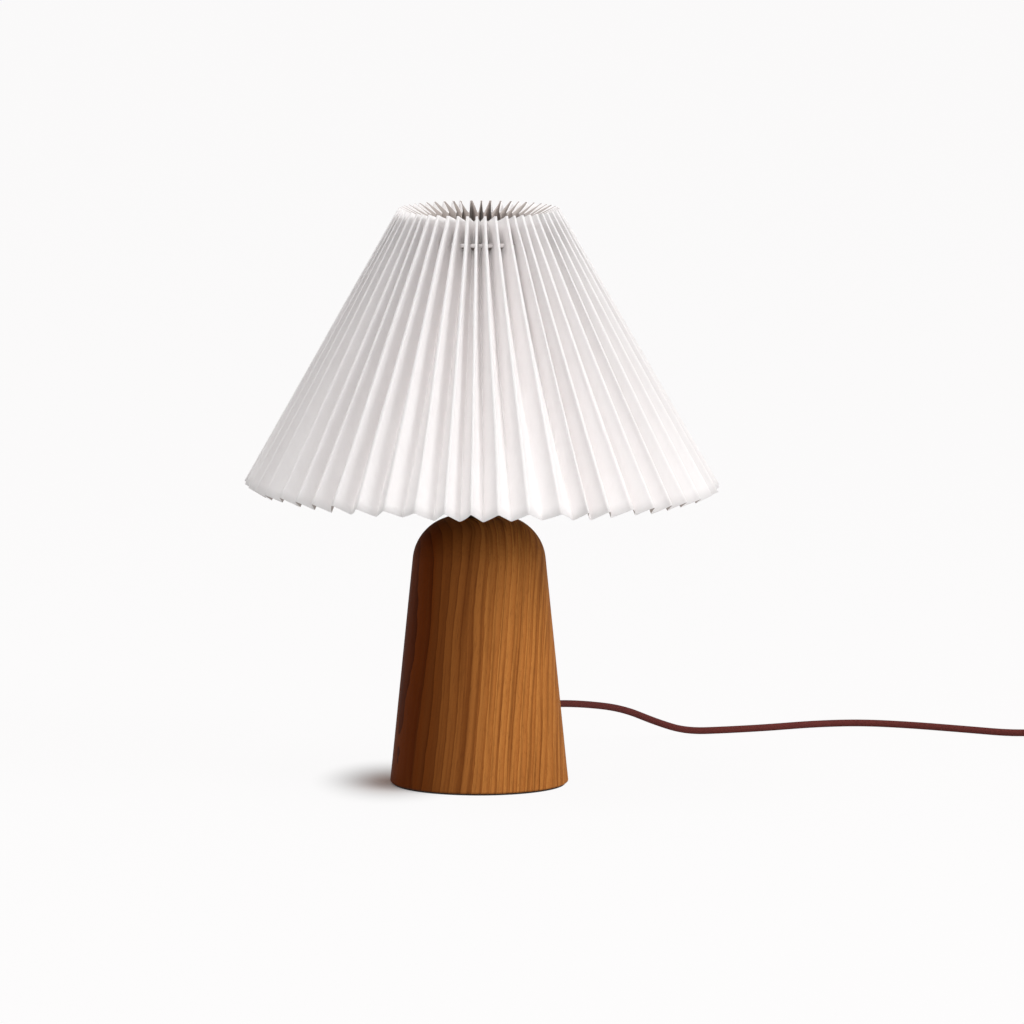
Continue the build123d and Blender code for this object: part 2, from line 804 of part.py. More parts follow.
pieces = {
    "wooden_base": wooden_base(),
    "felt_pad": felt_pad(),
    "cord_bush": cord_bush(),
    "inner_lead": inner_lead(),
    "threaded_tube": threaded_tube(),
    "tube_washer": tube_washer(),
    "tube_nut": tube_nut(),
    "neck_washer": neck_washer(),
    "holder_cap": holder_cap(),
    "holder_shell": holder_shell(),
    "holder_core": holder_core(),
    "terminal_screws": terminal_screws(),
    "holder_sleeve": holder_sleeve(),
    "centre_contact": centre_contact(),
    "locking_collar": locking_collar(),
    "bulb_contact": bulb_contact(),
    "bulb_insulator": bulb_insulator(),
    "bulb_cap": bulb_cap(),
    "bulb_housing": bulb_housing(),
    "bulb_globe": bulb_globe(),
    "fitter_ring": fitter_ring(),
    "frame_legs": frame_legs(),
    "carrier_ring": carrier_ring(),
    "pleated_shade": pleated_shade(),
    "cord_lead": cord_tube("cord_lead", lead_route),
    "switch_base": switch_base(),
    "switch_cover": switch_cover(),
    "switch_rocker": switch_rocker(),
    "switch_screws": switch_screws(),
    "cord_tail": cord_tube("cord_tail", tail_route),
    "cord_coil": cord_coil(),
    "cord_tie": cord_tie(),
    "plug_lead": cord_tube("plug_lead", plug_route),
    "plug_relief": plug_relief(),
    "plug_body": plug_body(),
    "plug_pins": plug_pins(),
}

os.makedirs("parts", exist_ok=True)
for name, shape in pieces.items():
    export_step(shape, "parts/" + name + ".step")
print(len(pieces), "pieces written")
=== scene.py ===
import json
from math import atan, atan2, cos, hypot, pi, radians, sin, sqrt

import bmesh
import bpy
import numpy as np
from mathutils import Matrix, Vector


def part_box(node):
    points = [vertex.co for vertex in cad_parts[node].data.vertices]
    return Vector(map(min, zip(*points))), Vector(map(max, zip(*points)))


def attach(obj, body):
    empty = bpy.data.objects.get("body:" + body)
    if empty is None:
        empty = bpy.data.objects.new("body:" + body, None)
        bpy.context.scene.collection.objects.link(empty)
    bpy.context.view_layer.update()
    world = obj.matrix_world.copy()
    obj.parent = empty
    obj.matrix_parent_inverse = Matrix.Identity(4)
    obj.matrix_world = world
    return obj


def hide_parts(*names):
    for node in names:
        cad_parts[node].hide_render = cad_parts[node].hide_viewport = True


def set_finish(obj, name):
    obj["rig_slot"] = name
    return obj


# %% [markdown]
# # A pleated paper table lamp
#
# The lamp is a turned wooden base, a wide cone of pleated white paper on a wire
# ring, and a textile cord. The CAD frame already holds every rigid piece in its
# place, in metres, with +Z up and the origin under the base. This lesson dresses
# that frame: each piece that shows gets a finer surface or a finer finish.

# %% Load the frame

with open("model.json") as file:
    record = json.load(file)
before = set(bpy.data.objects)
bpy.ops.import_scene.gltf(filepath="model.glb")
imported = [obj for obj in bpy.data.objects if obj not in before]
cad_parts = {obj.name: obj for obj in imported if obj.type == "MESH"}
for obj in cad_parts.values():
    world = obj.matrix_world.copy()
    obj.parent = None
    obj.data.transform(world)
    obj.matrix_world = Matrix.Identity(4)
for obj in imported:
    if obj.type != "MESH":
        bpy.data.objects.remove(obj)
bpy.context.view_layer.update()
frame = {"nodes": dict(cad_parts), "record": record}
nodes = frame["nodes"]

# %% [markdown]
# ## The camera
#
# The photograph is a product shot from far away through a long lens, so upright
# lines stay parallel. An image of 1024 pixels and a focal length of 12,000
# pixels give the lens for a 36 mm sensor. The camera stands ten metres off,
# looks down by a little over seven degrees, and the lamp's axis is slightly left
# of the middle of the picture.

# %% Camera

image_side = 1024
focal_pixels = 12000.0
sensor_width = 36.0
camera_distance = 10.08
camera_pitch = radians(7.15)
lamp_left_of_centre = 0.0275
ground_below_centre = 0.2276

camera = bpy.data.objects.new("camera", bpy.data.cameras.new("camera"))
bpy.context.scene.collection.objects.link(camera)
camera.data.sensor_width = sensor_width
camera.data.lens = focal_pixels / image_side * sensor_width
camera.location = (
    lamp_left_of_centre,
    -camera_distance * cos(camera_pitch) + ground_below_centre * sin(camera_pitch),
    camera_distance * sin(camera_pitch) + ground_below_centre * cos(camera_pitch),
)
camera.rotation_euler = (pi / 2 - camera_pitch, 0, 0)
camera.data.clip_start = 1.0
camera.data.clip_end = 100.0
bpy.context.scene.camera = camera
print("camera: lens", round(camera.data.lens), "mm, at", [round(v, 2) for v in camera.location])

# %% [markdown]
# ## Surfaces from numbers
#
# Nearly every piece of a lamp is either turned about an axis or carried along a
# line. Both are grids of points, so one function turns a grid into a mesh and
# the rest only work out where the points are. Doubled points, at a pole or a
# seam, are merged, and the normals are worked out again afterwards, so that
# every closed piece faces outwards.

# %% Grid to mesh

sharp_angle = 35.0              # degrees: an edge that turns by more stays sharp


def mesh_piece(name, points, faces, smooth_angle=sharp_angle):
    """An object from points and faces, with doubles merged, normals outwards and sharp edges kept."""
    mesh = bpy.data.meshes.new(name)
    mesh.from_pydata(np.asarray(points, float).reshape(-1, 3).tolist(), [], faces)
    piece = bpy.data.objects.new(name, mesh)
    bpy.context.scene.collection.objects.link(piece)
    work = bmesh.new()
    work.from_mesh(mesh)
    bmesh.ops.remove_doubles(work, verts=work.verts, dist=1e-6)
    bmesh.ops.recalc_face_normals(work, faces=work.faces)
    work.to_mesh(mesh)
    work.free()
    mesh.shade_smooth()
    mesh.set_sharp_from_angle(angle=radians(smooth_angle))
    return piece


def grid_faces(rows, columns, wrap_rows=False, wrap_columns=False):
    """Quads of a grid numbered row by row. A wrapped side joins its last line to its first."""
    number = np.arange(rows * columns).reshape(rows, columns)
    if wrap_rows:
        number = np.vstack([number, number[:1]])
    if wrap_columns:
        number = np.hstack([number, number[:, :1]])
    quads = np.stack([number[:-1, :-1], number[:-1, 1:], number[1:, 1:], number[1:, :-1]], axis=-1)
    return quads.reshape(-1, 4).tolist()


def outline(corners, steps=5, longest=0.45):
    """A profile from (radius, height, rounding) corners in millimetres, in metres.

    A corner with rounding r is replaced by a parabola from the point r before it to the point r after it, with
    the corner as its control point. r is at most the longest share of the shorter side."""
    corner = np.array(corners, float) / 1000.0
    place, rounding = corner[:, :2], corner[:, 2]
    back = np.vstack([place[:1], place[:-1]]) - place
    ahead = np.vstack([place[1:], place[-1:]]) - place
    back_length = np.linalg.norm(back, axis=1)
    ahead_length = np.linalg.norm(ahead, axis=1)
    back_length[back_length == 0] = 1
    ahead_length[ahead_length == 0] = 1
    reach = np.minimum(rounding, longest * np.minimum(back_length, ahead_length))[:, None]
    start = place + back * reach / back_length[:, None]
    end = place + ahead * reach / ahead_length[:, None]
    t = np.linspace(0, 1, steps)[None, :, None]
    curve = (1 - t) ** 2 * start[:, None] + 2 * t * (1 - t) * place[:, None] + t ** 2 * end[:, None]
    line = curve.reshape(-1, 2)
    moved = np.linalg.norm(np.diff(line, axis=0), axis=1) > 1e-7
    return line[np.concatenate([[True], moved])]


def finer(line, step):
    """The same line, with every stretch cut into pieces no longer than step."""
    pieces = []
    for start, end in zip(line[:-1], line[1:]):
        count = max(1, int(np.ceil(np.linalg.norm(end - start) / step)))
        pieces.append(start + (end - start) * (np.arange(count) / count)[:, None])
    return np.vstack([*pieces, line[-1:]])


def heading_place(origin, heading, lying=False):
    """Origin and three directions of a place on the table. Lying, the local height runs along the heading."""
    ahead = np.array((cos(heading), sin(heading), 0.0))
    left = np.array((-sin(heading), cos(heading), 0.0))
    up = np.array((0.0, 0.0, 1.0))
    return (np.array(origin, float), left, up, ahead) if lying else (np.array(origin, float), ahead, left, up)


def onto(points, place):
    """Local points carried to a place: origin + x first + y second + z third."""
    origin, first, second, third = place
    return origin + points[..., :1] * first + points[..., 1:2] * second + points[..., 2:] * third


lamp_axis = heading_place((0, 0, 0), 0.0)


def revolved(name, profile, turns=128, ripple=None, place=lamp_axis):
    """A profile carried once round a place's axis: (radius cos a, radius sin a, height).

    A ripple takes (radius, angle, height) and gives the radius with threads or ribs cut into it."""
    angle = np.linspace(0, 2 * pi, turns, endpoint=False)[:, None]
    radius = profile[None, :, 0] + 0 * angle
    height = profile[None, :, 1] + 0 * angle
    if ripple:
        radius = ripple(radius, angle, height)
    points = np.stack([radius * np.cos(angle), radius * np.sin(angle), height], axis=-1)
    return mesh_piece(name, onto(points, place), grid_faces(turns, len(profile), wrap_rows=True))


def turned(name, corners, ring=True, step=None, **how):
    """A turned piece from the corners of its outline.

    A ring has a hole, and its profile closes on itself. Otherwise the profile starts and ends on the axis."""
    profile = outline([*corners, corners[0]] if ring else corners)
    return revolved(name, finer(profile, step) if step else profile, **how)


def swell(angle):
    """From 0 to 1 and back, once a turn."""
    return 0.5 - 0.5 * np.cos(angle)


def screw_thread(low, high, pitch, depth, beyond):
    """A ripple: a right-hand thread, sunk by depth beyond a radius, fading out at its ends. Millimetres."""
    def ripple(radius, angle, height):
        level = height * 1000
        fade = np.clip(np.minimum(level - low, high - level) / pitch, 0, 1)
        return radius - depth / 1000 * swell(2 * pi * level / pitch - angle) * fade * (radius * 1000 > beyond)
    return ripple


def grip_ribs(count, depth, beyond):
    """A ripple: grooves side by side round the outside, sunk by depth beyond a radius. Millimetres."""
    def ripple(radius, angle, height):
        return radius - depth / 1000 * swell(count * angle) * (radius * 1000 > beyond)
    return ripple


def ring_grooves(low, high, pitch, depth, beyond):
    """A ripple: level grooves between two heights, sunk by depth beyond a radius. Millimetres."""
    def ripple(radius, angle, height):
        level = height * 1000
        grooved = (level > low) & (level < high) & (radius * 1000 > beyond)
        return radius - depth / 1000 * swell(2 * pi * (level - low) / pitch) * grooved
    return ripple


def inset_loop(loop, inset):
    """A closed counter-clockwise outline moved inwards along its own normals."""
    along_it = np.roll(loop, -1, axis=0) - np.roll(loop, 1, axis=0)
    normal = np.stack([-along_it[:, 1], along_it[:, 0]], axis=-1)
    return loop + inset * normal / np.linalg.norm(normal, axis=1)[:, None]


def upright(loop, y):
    """A flat outline stood up in the plane at y: its second coordinate becomes the height."""
    return np.column_stack([loop[:, 0], np.full(len(loop), y), loop[:, 1]])


def stack_faces(layers, count):
    """Faces of a stack of closed loops of equally many points, with a lid on each end."""
    last = (layers - 1) * count
    lids = [list(range(count)), list(range(last, last + count))]
    return grid_faces(layers, count, wrap_columns=True) + lids


def layered(name, layers, place, ring=False):
    """Loops stacked at their heights. As a ring the last meets the first, otherwise each end has a lid."""
    rings = np.stack([np.column_stack([loop, np.full(len(loop), height)]) for loop, height in layers])
    count = rings.shape[1]
    faces = grid_faces(len(layers), count, True, True) if ring else stack_faces(len(layers), count)
    return mesh_piece(name, onto(rings, place), faces)


def rounded_loop(corners, step=0.0008):
    """A closed outline from (x, y, rounding) corners in millimetres, each rounded, in metres."""
    first, last = np.array(corners[0][:2], float), np.array(corners[-1][:2], float)
    start = (*((first + last) / 2), 0)
    return finer(outline([start, *corners, start]), step)[:-1]


def tube_points(line, radius, sides, up=(0, 0, 1)):
    """Rings round a line: point + radius (side cos a + top sin a), where side is square to up."""
    direction = np.gradient(line, axis=0)
    direction /= np.linalg.norm(direction, axis=1)[:, None]
    side = np.cross(direction, np.array(up, float))
    side /= np.linalg.norm(side, axis=1)[:, None]
    top = np.cross(side, direction)
    angle = np.linspace(0, 2 * pi, sides, endpoint=False)
    radius = np.broadcast_to(np.asarray(radius, float), (len(line),))[:, None, None]
    turn = side[:, None] * np.cos(angle)[None, :, None] + top[:, None] * np.sin(angle)[None, :, None]
    return line[:, None] + radius * turn


def swept(name, line, radius, sides=16, up=(0, 0, 1)):
    """A round bar along a line, with a flat lid on each end. The radius may change along it."""
    line = np.asarray(line, float)
    return mesh_piece(name, tube_points(line, radius, sides, up), stack_faces(len(line), sides))


def bored(piece, *cutters):
    """The piece without the room of the cutters, as a plain mesh again."""
    for cutter in cutters:
        cut = piece.modifiers.new("bore", "BOOLEAN")
        cut.object = cutter
    bpy.context.view_layer.update()
    mesh = bpy.data.meshes.new_from_object(piece.evaluated_get(bpy.context.evaluated_depsgraph_get()))
    old = piece.data
    piece.modifiers.clear()
    piece.data = mesh
    mesh.name = piece.name
    bpy.data.meshes.remove(old)
    for cutter in cutters:
        bpy.data.objects.remove(cutter)
    mesh.shade_smooth()
    mesh.set_sharp_from_angle(angle=radians(sharp_angle))
    return piece


slot_of = {row["node"]: row["material_slot"] for row in frame["record"]["subparts"]}
fine_pieces = []


def dress(piece, body, *stands_for):
    """The piece rides on its body, takes the slot of the CAD nodes it stands for, and hides them."""
    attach(piece, body)
    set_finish(piece, slot_of[stands_for[0]])
    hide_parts(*stands_for)
    fine_pieces.append(piece)
    return piece


# %% [markdown]
# ## The cord's line
#
# A mains cord is limp but springy, so it lies in long, easy bends. Its line is
# one smooth NURBS spline: straight out of the bush, down to the table under its
# own weight, along the table through the switch, into a neat coil of the spare
# length and out again to the plug. The control points are those of the CAD
# route. The coil's turns are worked out: half turns whose centre steps from side
# to side, so that the radius shrinks by half a cord at every half turn, and grows
# again in the second layer.

# %% Cord line

cord_diameter = 0.006
cord_radius = cord_diameter / 2
exit_azimuth = radians(62.0)
exit_height = 0.052
bush_tip = 0.0897
switch_axis = 0.0085
switch_heading = radians(-28.0)
switch_length = 0.062
plug_axis = 0.007
plug_heading = radians(176.0)
coil_centre = np.array((0.690, 0.2062))
coil_radius = 0.0435
coil_pitch = 0.0065
coil_low = 0.0041
half_turns_in = 5
half_turns_out = 3
straight_out = 0.034            # how far the cord keeps the bush's direction
beside_switch = 0.026           # how far it keeps the switch's, on either side
beside_plug = 0.012
into_plug = 0.011
coil_leaves = 0.2497            # across the table, where the last turn heads for the plug


def beyond(start, heading, distance, height):
    """A point at a distance along a heading on the table."""
    return (start[0] + distance * cos(heading), start[1] + distance * sin(heading), height)


out_of_bush = (bush_tip * cos(exit_azimuth), bush_tip * sin(exit_azimuth))
switch_start = (0.521, 0.2375)
plug_start = (0.642, 0.250)
lead_points = [
    beyond(out_of_bush, exit_azimuth, 0.0, exit_height),
    beyond(out_of_bush, exit_azimuth, straight_out, exit_height),
    (0.088, 0.160, 0.0445),
    (0.122, 0.214, 0.033),
    (0.152, 0.251, 0.0155),
    (0.178, 0.274, 0.0044),
    (0.212, 0.292, cord_radius),
    (0.250, 0.307, cord_radius),
    (0.290, 0.329, cord_radius),
    (0.331, 0.337, cord_radius),
    (0.373, 0.322, cord_radius),
    (0.418, 0.2965, cord_radius),
    (0.464, 0.2685, cord_radius),
    beyond(switch_start, switch_heading, -beside_switch, switch_axis),
    beyond(switch_start, switch_heading, 0.0, switch_axis),
]
switch_points = [beyond(switch_start, switch_heading, switch_length / 2, switch_axis)]
tail_points = [
    beyond(switch_start, switch_heading, switch_length, switch_axis),
    beyond(switch_start, switch_heading, switch_length + beside_switch, switch_axis),
    (0.628, 0.1755, cord_radius + 0.0006),
    (0.657, 0.1627, coil_low),
]


def coil_points(per_half_turn=8):
    """Points of the coil: each half turn's centre lies one radius across from where the last one ended."""
    step = coil_pitch / 2
    inwards = coil_radius - step * np.arange(half_turns_in + 1)
    outwards = inwards[-1] + step * np.arange(1, half_turns_out + 1)
    radii = np.concatenate([inwards, outwards])
    side = np.where(np.arange(len(radii)) % 2 == 0, 1.0, -1.0)
    ends = -coil_radius + np.concatenate([[0], np.cumsum(2 * radii * side)])
    middle = (ends[:-1] + ends[1:]) / 2
    share = (np.arange(per_half_turn) + 0.5) / per_half_turn
    # the control points stand a little outside the arc, which the spline cuts inside
    outside = 1 / cos(pi / 2 / per_half_turn) ** 2
    angle = -side[:, None] * pi / 2 + share[None] * pi * side[:, None]
    across = middle[:, None] + outside * radii[:, None] * np.sin(angle)
    reach = outside * radii[:, None] * np.cos(angle) * side[:, None]
    climbed = np.where(np.arange(len(radii)) > half_turns_in, 1.0, 0.0)[:, None] + np.zeros_like(share)[None]
    climbed[half_turns_in] = share
    height = coil_low + coil_pitch * climbed
    return np.stack([coil_centre[0] + reach, coil_centre[1] + across, height], axis=-1).reshape(-1, 3)


plug_points = [
    (coil_centre[0] - cord_diameter, coil_leaves, coil_low + coil_pitch),
    (coil_centre[0] - cord_diameter - beside_plug, coil_leaves, coil_low + coil_pitch),
    beyond(plug_start, plug_heading, -beside_plug, plug_axis),
    beyond(plug_start, plug_heading, 0.0, plug_axis),
    beyond(plug_start, plug_heading, into_plug, plug_axis),
]
route = np.array([*lead_points, *switch_points, *tail_points, *coil_points(), *plug_points])


def spline_points(name, control, resolution=8):
    """Points of a smooth NURBS spline pulled by its control points, read from an un-bevelled curve."""
    curve = bpy.data.curves.new(name, "CURVE")
    curve.dimensions = "3D"
    curve.resolution_u = resolution
    spline = curve.splines.new("NURBS")
    spline.points.add(len(control) - 1)
    spline.points.foreach_set("co", np.hstack([control, np.ones((len(control), 1))]).ravel())
    spline.order_u = 3
    spline.use_endpoint_u = True
    holder = bpy.data.objects.new(name, curve)
    bpy.context.scene.collection.objects.link(holder)
    bpy.context.view_layer.update()
    read = bpy.data.meshes.new_from_object(holder)
    points = np.empty(len(read.vertices) * 3)
    read.vertices.foreach_get("co", points)
    bpy.data.objects.remove(holder)
    bpy.data.meshes.remove(read)
    bpy.data.curves.remove(curve)
    return points.reshape(-1, 3)


cord_line = spline_points("cord_line", route)

# %% [markdown]
# The cord itself is a tube round that line. Its cover is braided from many thin
# threads, far too fine to model one by one, so the tube carries a UV map, once
# round and in metres along, and the braid is drawn on it by its finish.

# %% Cord tube

cord_sides = 14
nearly_up = (0.05, 0.02, 1)     # never quite along the cord, even where it stands upright


def braided_tube(name, line):
    """A tube round a line, with a UV map that runs once round (u) and in metres along (v)."""
    rings = tube_points(line, cord_radius, cord_sides, up=nearly_up)
    piece = mesh_piece(name, rings, grid_faces(len(line), cord_sides, wrap_columns=True))
    mesh = piece.data
    walked = np.concatenate([[0], np.cumsum(np.linalg.norm(np.diff(line, axis=0), axis=1))])
    corner = np.empty(len(mesh.loops), int)
    mesh.loops.foreach_get("vertex_index", corner)
    per_face = (corner % cord_sides / cord_sides).reshape(-1, 4)
    seam = per_face.max(axis=1) - per_face.min(axis=1) > 0.5
    per_face[seam] = np.where(per_face[seam] < 0.5, per_face[seam] + 1.0, per_face[seam])
    uv = np.stack([per_face.ravel(), walked[corner // cord_sides]], axis=-1)
    mesh.uv_layers.new(name="braid").data.foreach_set("uv", uv.ravel())
    return piece


cord = dress(braided_tube("cord", cord_line), "lamp_base", "cord_lead", "cord_tail", "cord_coil", "plug_lead")
bend_reach = 0.048
lead_top = 0.249
inner_route = np.array([
    beyond((0, 0), exit_azimuth, bush_tip, exit_height),
    beyond((0, 0), exit_azimuth, bend_reach, exit_height),
    (0, 0, exit_height),
    (0, 0, exit_height + bend_reach),
    (0, 0, lead_top),
])
inner_line = spline_points("inner_line", inner_route)
inner_cord = dress(braided_tube("inner_cord", inner_line), "lamp_base", "inner_lead")
print("cord tube:", len(cord.data.polygons), "faces, inner cord:", len(inner_cord.data.polygons), "faces")

# %% [markdown]
# ## The pleated paper shade
#
# The shade is one long strip of stiff white paper with straight folds a constant
# width apart. Gathered into a cone, the folds stand further apart at the bottom,
# so the pleats are shallow there and deep at the top. The strip is worked out the
# same way: every outer fold is a straight line from the top rim to the bottom
# rim, and every inner fold lies as deep as the constant fold width asks for.
# Folded by hand, no pleat is quite like its neighbour, so the front folds stand
# where the photograph shows them and the others are spaced with a little chance.

# %% Shade sizes

shade_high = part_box("pleated_shade")[1]
pleat_count = 52
fold_width = 0.0178
paper_thickness = 0.0003
top_radius = 0.0675
top_height = shade_high.z
bottom_radius = shade_high.x
bottom_height = 0.2525
lean = atan((bottom_radius - top_radius) / (top_height - bottom_height))
fold_length = hypot(bottom_radius - top_radius, top_height - bottom_height)
notch_place = 0.0217
notch_reach = 0.0022
notch_width = 0.0080
notch_pull = 0.0036
ring_low, ring_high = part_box("carrier_ring")
ring_height = (ring_low.z + ring_high.z) / 2
print("shade: lean", round(lean * 180 / pi, 2), "degrees, folds", round(fold_length * 1000), "mm long")

# %% [markdown]
# The angles are those of the inner folds, whose lower tips show best. Zero is
# towards the viewer and angles grow to the right.

# %% Where the folds stand

front_inner_folds = np.array([
    -80.9, -74.7, -68.5, -60.9, -52.9, -47.3, -40.9, -34.4, -26.8, -19.5, -11.2, -4.8,
    1.2, 8.2, 15.8, 24.2, 29.6, 35.3, 43.1, 49.1, 55.8, 61.9, 70.2,
])


def inner_fold_angles(seed=4, unevenly=0.16):
    """The front folds as they stand, and the rest spread over what is left with a little chance. Radians."""
    front = np.radians(front_inner_folds)
    count = pleat_count - len(front)
    share = np.linspace(0, 1, count + 2)[1:-1]
    wobble = np.random.default_rng(seed).uniform(-unevenly, unevenly, count) / (count + 1)
    rest = front[-1] + (share + wobble) * (front[0] + 2 * pi - front[-1])
    return np.concatenate([front, rest])


inner_angle = inner_fold_angles()
next_inner_angle = np.append(inner_angle[1:], inner_angle[0] + 2 * pi)
outer_angle = inner_angle + (next_inner_angle - inner_angle) / 2
gaps = np.degrees(next_inner_angle - inner_angle)
print("pleats:", pleat_count, "gaps from", round(gaps.min(), 1), "to", round(gaps.max(), 1), "degrees")

# %% The strip

crease_share = 0.20             # how far along a panel the rounding of a fold may reach
notch_share = notch_width / fold_width
across_panel = np.array([
    0.0, 0.03, 0.065, 0.105, 0.15, crease_share, 0.27, 0.36, notch_share, 1 - notch_share, 0.64, 0.73,
    1 - crease_share, 0.85, 0.895, 0.935, 0.97,
])
notch_columns = 8               # from a fold to the notch's end
notch_row = 3                   # runs through the notches
rows_below = 26
roll_width = 0.0009
roll_place = 0.07
roll_fade = 0.6
bow_outer, bow_inner = 0.0005, 0.0006     # how far folds bow in or out at the middle
top_askew = 0.006               # how far outer folds stray at the upper rim, in radians
askew_fade = 0.035              # the share of a fold below the ring in which that ends
sway_angle = 0.0022             # how far a whole pleat waves to the sides, in radians
front_rise = 0.0014             # by how much inner tips stand higher in front, half of it at the sides
right_widening = 0.0013         # of the lower rim
pull_reach = 0.016              # how far from the ring the inner folds are pressed inwards
panel_bulge, panel_wave = 0.00045, 0.00025


def fold_rows():
    """Shares down a fold: the upper edge, three lines for the notch, then even steps to the lower edge."""
    notch = notch_place / fold_length
    reach = notch_reach / fold_length
    upper = [0.0, (notch - reach) * 0.5, notch - reach, notch, notch + reach]
    return np.concatenate([upper, np.linspace(notch + reach, 1, rows_below + 1)[1:]])


def pleat_depth(radius, half_angle):
    """Depth square to the outer fold, such that the paper between two folds is fold_width wide."""
    share = np.sin(half_angle / 2) ** 2
    shift = 2 * radius * cos(lean) * share
    return shift + np.sqrt(shift ** 2 - 4 * radius ** 2 * share + fold_width ** 2)


def lower_trim(angle, chance, mean=-0.0008, right=0.0026, front=0.0016, unevenly=0.00035):
    """By how much each fold is longer than drawn, in metres: cut by hand, lower in front and on the right."""
    return mean + right * np.sin(angle) + front * np.cos(angle) + chance.normal(0, unevenly, len(angle))


def fold_lines(rows, seed=11):
    """Points of all folds, inner and outer in turn, row by row: (rows, 2 pleats, 3).

    Handwork shows: folds bow a little, stray a little at the top where the ring bends them, and end unevenly.
    Near the ring the inner folds are pressed inwards, so that the ring crosses the valleys in full view."""
    chance = np.random.default_rng(seed)
    before = np.roll(outer_angle, 1) - np.where(np.arange(pleat_count) == 0, 2 * pi, 0)
    half_angle = ((outer_angle - before) / 2)[None]
    down = rows[:, None]
    bulge = np.sin(pi * down)
    ring_row = notch_place / fold_length
    above_ring = np.clip((ring_row + askew_fade - down) / ring_row, 0, 1)
    inner_trim = lower_trim(inner_angle, chance)[None] * down
    raised = front_rise * (1 + np.cos(inner_angle))[None] * np.clip(1 - down / ring_row, 0, 1)
    outer_trim = lower_trim(outer_angle, chance)[None] * down
    wider = right_widening * np.sin(outer_angle)[None] * down ** 2
    pulled = notch_pull * np.exp(-(((down - ring_row) * fold_length / pull_reach) ** 2))
    radius = top_radius + down * (bottom_radius - top_radius)
    height = top_height + down * (bottom_height - top_height)
    depth = pleat_depth(radius, half_angle)
    outer_bow = chance.normal(0, bow_outer, pleat_count)[None] * bulge
    inner_bow = chance.normal(0, bow_inner, pleat_count)[None] * bulge
    askew = chance.normal(0, top_askew, pleat_count)[None] * above_ring
    sway = chance.normal(0, sway_angle, pleat_count)[None] * np.sin(2 * pi * down)
    outer_radius = radius + wider + outer_bow + outer_trim * sin(lean)
    outer_height = height - outer_trim * cos(lean) + 0 * half_angle
    inner_radius = radius + wider - (depth + pulled) * cos(lean) + inner_bow + inner_trim * sin(lean)
    inner_height = height - depth * sin(lean) - inner_trim * cos(lean) + raised

    def place(radius, angle, height):
        return np.stack([radius * np.sin(angle), -radius * np.cos(angle), height], axis=-1)

    lines = np.empty((len(rows), 2 * pleat_count, 3))
    lines[:, 0::2] = place(inner_radius, inner_angle[None] + sway, inner_height)
    lines[:, 1::2] = place(outer_radius, outer_angle[None] + askew + sway, outer_height)
    return lines


def crease_softness(seed=5, least=0.5, most=0.85, outer_more=0.45, front_less=0.15, top=1.4, fade=0.8):
    """How far along the panels each fold's rounding reaches, row by row, as a share of the panel.

    Outer folds are rounder than inner ones, and all are rounder at the top, where the pleats are pressed
    together."""
    chance = np.random.default_rng(seed)
    soft = chance.uniform(least, most, 2 * pleat_count)
    soft[1::2] += outer_more - front_less * np.cos(outer_angle)
    return crease_share * soft[None] * (top - fade * rows)[:, None]


def roll_outwards(back, ahead):
    """Moves that make the outer folds blunt: the paper beside them stands apart, like a narrow roll.

    At a share s of the panel it is roll_width s / a exp(1 - s / a): largest at s = a, and less lower down."""
    sideways = (ahead - back)[:, 1::2]
    sideways /= np.linalg.norm(sideways, axis=-1)[..., None]
    width = roll_width * (1 - roll_fade * rows)[:, None, None]
    outwards = (width * sideways)[:, :, None]

    def rolled(share):
        return (share / roll_place * np.exp(1 - share / roll_place))[None, None, :, None]

    moves = np.zeros(back.shape[:2] + (len(across_panel), 3))
    moves[:, 1::2] = outwards * rolled(across_panel)
    moves[:, 0::2] = -outwards * rolled(1 - across_panel)
    return moves


def strip_points(lines, seed=8):
    """Panels between neighbouring folds, (rows, folds, across, 3), slightly bulged, with each fold rounded.

    Near a fold the panel's line is replaced by a parabola: at a share t of the rounding's reach from the fold,
    the point moves towards the neighbouring panel by (1 - t)^2 / 4 of the bend. All folds are first pushed out
    by the middle of that parabola, so that the rounded fold stays where the sharp one was."""
    chance = np.random.default_rng(seed)
    reach = crease_softness()[:, :, None]
    back = np.roll(lines, 1, axis=1) - lines
    ahead = np.roll(lines, -1, axis=1) - lines
    bend = reach * (back + ahead)
    lines = lines - bend / 4
    following = np.roll(lines, -1, axis=1)
    share = across_panel[None, None, :, None]
    points = lines[:, :, None] * (1 - share) + following[:, :, None] * share
    near = np.clip(1 - share / reach[:, :, None], 0, 1) ** 2
    far = np.clip(1 - (1 - share) / np.roll(reach, -1, axis=1)[:, :, None], 0, 1) ** 2
    points = points + near * bend[:, :, None] / 4 + far * np.roll(bend, -1, axis=1)[:, :, None] / 4
    points = points + roll_outwards(back, ahead)
    down = np.gradient(lines, axis=0)
    normal = np.cross(down, following - lines)
    normal /= np.linalg.norm(normal, axis=-1)[..., None]
    arch = np.sin(pi * across_panel)[None, None, :, None]
    panels = lines.shape[1]
    bulge = chance.normal(0, panel_bulge, panels)[None]
    bulge = bulge + chance.normal(0, panel_wave, panels)[None] * np.cos(3 * pi * rows)[:, None]
    return points + arch * bulge[:, :, None, None] * normal[:, :, None]


